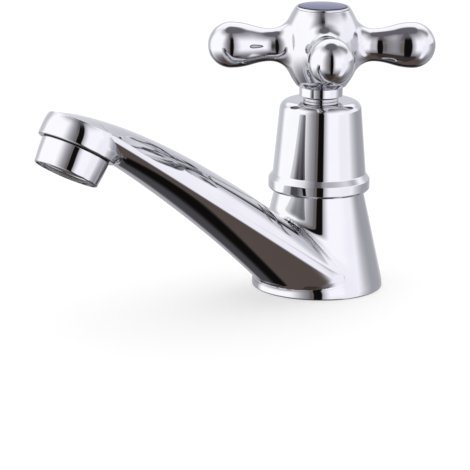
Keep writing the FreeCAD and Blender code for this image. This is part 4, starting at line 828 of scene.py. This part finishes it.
# %% Parts of the tent
TENT_CLOTH = "#7A797D"
ALL_ROUND = (-182, -181, 181, 182)
TENT_PARTS = {
    "back": ("#BCBCC1", 180, (-78, -48, 48, 78), (-50, -25, 70, 80)),
    "back_low": ("#929296", 180, (-62, -44, 44, 62), (-52, -42, -19, -11)),
    "back_top": ("#FAFAFC", 180, (-70, -40, 40, 70), (20, 32, 62, 70)),
    "right_corner": ("#9C9CA1", 122, (-40, -15, 20, 45), (-45, -14, -4, 6)),
    "left_light": ("#FFFFFF", -85, (-50, -30, 32, 78), (-52, -14, 42, 78)),
    "right_light": ("#FCFBFF", 55, (-54, -28, 20, 62), (-52, -8, 22, 80)),
    "right_strip": ("#F4F3F8", 98, (-38, -22, 22, 40), (1, 7, 24, 36)),
    "right_low": ("#F2F1F7", 66, (-20, -8, 8, 18), (-62, -48, 0, 10)),
    "roof": ("#646266", 0, ALL_ROUND, (64, 74, 91, 92)),
    "gap_top": ("#5E5C60", -1, (-16, -5, 5, 16), (26, 40, 70, 82)),
    "table": ("#534A45", 0, ALL_ROUND, (-92, -91, -68, -42)),
    "table_front": ("#38322F", -5, (-48, -28, 26, 44), (-92, -91, -53, -40)),
    "table_edge": ("#403F43", -177, (-46, -28, 30, 48), (-68, -62, -36, -30)),
    "table_back": ("#0E0C0B", -178, (-38, -22, 24, 42), (-67, -62, -54, -46)),
    "gap_side": ("#6A6360", -7.5, (-6, -2, 2, 6), (-50, -20, 10, 45)),
    "gap": ("#0F0D0D", 2.4, (-7.8, -5.6, 7.0, 9.6), (-60, -46, 34, 58)),
}


def tent_tone(bearing, height):
    """Tone of the tent: each part is laid over the ones before it, as far as its fades let it."""
    tone = hex_values(TENT_CLOTH) + 0 * (bearing + height)[..., None]
    for colour, centre, across, upward in TENT_PARTS.values():
        aside = (bearing - centre + 180) % 360 - 180
        inside = soft_step(aside, *across[:2]) * (1 - soft_step(aside, *across[2:]))
        inside = inside * soft_step(height, *upward[:2]) * (1 - soft_step(height, *upward[2:]))
        tone = tone + (hex_values(colour) - tone) * inside[..., None]
    return linear(tone)


print("parts of the tent:", len(TENT_PARTS))

# %% Tent
LENS_ROUND = 48  # degrees from straight in front of the spout to the lens
LENS_BEARING, TENT_RADIUS, TENT_LIGHT = LENS_ROUND - 90, 900.0, 1.73
TAP_MIDDLE = np.array([0, -40, 45])
turn = np.radians(np.linspace(-180, 180, 361)[None, :] + LENS_BEARING)
climb = np.radians(np.linspace(-90, 90, 181)[:, None])
ball = swung(np.cos(climb), np.sin(climb), turn)
tent = make_piece("tent", [TAP_MIDDLE + TENT_RADIUS * ball])
places = np.zeros(len(tent.data.vertices) * 3, np.float32)
tent.data.vertices.foreach_get("co", places)
facing = (places.reshape(-1, 3) / MM - TAP_MIDDLE) / TENT_RADIUS
tent_bearing = np.degrees(np.arctan2(facing[:, 1], facing[:, 0])) - LENS_BEARING
light = tent_tone(tent_bearing, np.degrees(np.arcsin(np.clip(facing[:, 2], -1, 1))))
tone = tent.data.attributes.new("tone", "FLOAT_COLOR", "POINT")
tone.data.foreach_set("color", np.hstack([light, np.ones((len(light), 1))]).astype(np.float32).ravel())
tent_cloth = bpy.data.materials.new("tent_cloth")
tent_cloth.use_nodes = True
tree = tent_cloth.node_tree
painted = add(tree, "ShaderNodeAttribute", attribute_name="tone").outputs["Color"]
glow = add(tree, "ShaderNodeEmission", {"Color": painted, "Strength": TENT_LIGHT})
tree.links.new(glow.outputs[0], tree.nodes["Material Output"].inputs["Surface"])
tent.data.materials.append(tent_cloth)
tent.visible_camera = tent.visible_diffuse = tent.visible_shadow = tent.visible_transmission = False
print("tent: darkest", light.min().round(3), "lightest", light.max().round(3))

# %% [markdown]
# The lens itself looks past the tent at plain white, and the floor takes an even light from all round.
# One broad lamp above gives the tap a faint shadow to stand on.

# %% World and lamp
ROOM_LIGHT, PLAIN_WHITE = 0.86, 1.0
world = bpy.data.worlds.new("white_room")
bpy.context.scene.world = world
world.use_nodes = True
tree = world.node_tree
soft = add(tree, "ShaderNodeBackground", {"Color": srgb("#FFFFFF"), "Strength": ROOM_LIGHT})
white = add(tree, "ShaderNodeBackground", {"Color": srgb("#FFFFFF"), "Strength": PLAIN_WHITE})
room = add(tree, "ShaderNodeMixShader", {0: seen_straight(tree), 1: soft.outputs[0], 2: white.outputs[0]})
tree.links.new(room.outputs[0], tree.nodes["World Output"].inputs["Surface"])

sun = bpy.data.lights.new("broad_lamp", "SUN")
sun.energy = 0.5
sun.angle = np.radians(80)
lamp = bpy.data.objects.new("broad_lamp", sun)
lamp.rotation_euler = (np.radians(20), np.radians(12), 0)
lamp.visible_glossy = False
bpy.context.scene.collection.objects.link(lamp)
print("world and lamp are set")

# %% [markdown]
# ## Camera
# The lens is long and stands about a metre away, 48 degrees round from the spout and 13 degrees above the
# middle of the tap. It is levelled almost straight, and looks a little below the middle, because the tap
# stands in the upper part of the picture.

# %% Camera
AIM_LEFT, AIM_BELOW = 0.425, 19.86  # mm from the tap's middle to the point that the lens looks at
away, lift, roll = np.radians((LENS_ROUND, 13.198, 0.891))
distance = 1011.62
towards = np.array([np.sin(away) * np.cos(lift), -np.cos(away) * np.cos(lift), np.sin(lift)])
right = np.array([np.cos(away), np.sin(away), 0])
up = np.cross(towards, right)
right, up = right * np.cos(roll) + up * np.sin(roll), up * np.cos(roll) - right * np.sin(roll)
eye = TAP_MIDDLE + distance * towards
look = eye - (TAP_MIDDLE - AIM_LEFT * right - AIM_BELOW * up)
look = look / np.linalg.norm(look)
side = np.cross(up, look)
side = side / np.linalg.norm(side)
lens = bpy.data.cameras.new("lens")
lens.angle = np.radians(9.291)
lens.clip_start, lens.clip_end = 0.05, 20
camera = bpy.data.objects.new("lens", lens)
matrix = np.eye(4)
matrix[:3, :4] = np.stack([side, np.cross(look, side), look, eye * MM], axis=1)
camera.matrix_world = Matrix(matrix.tolist())
bpy.context.scene.collection.objects.link(camera)
bpy.context.scene.camera = camera
bpy.context.scene.view_settings.view_transform = "Standard"
print("camera at", np.round(eye, 1))
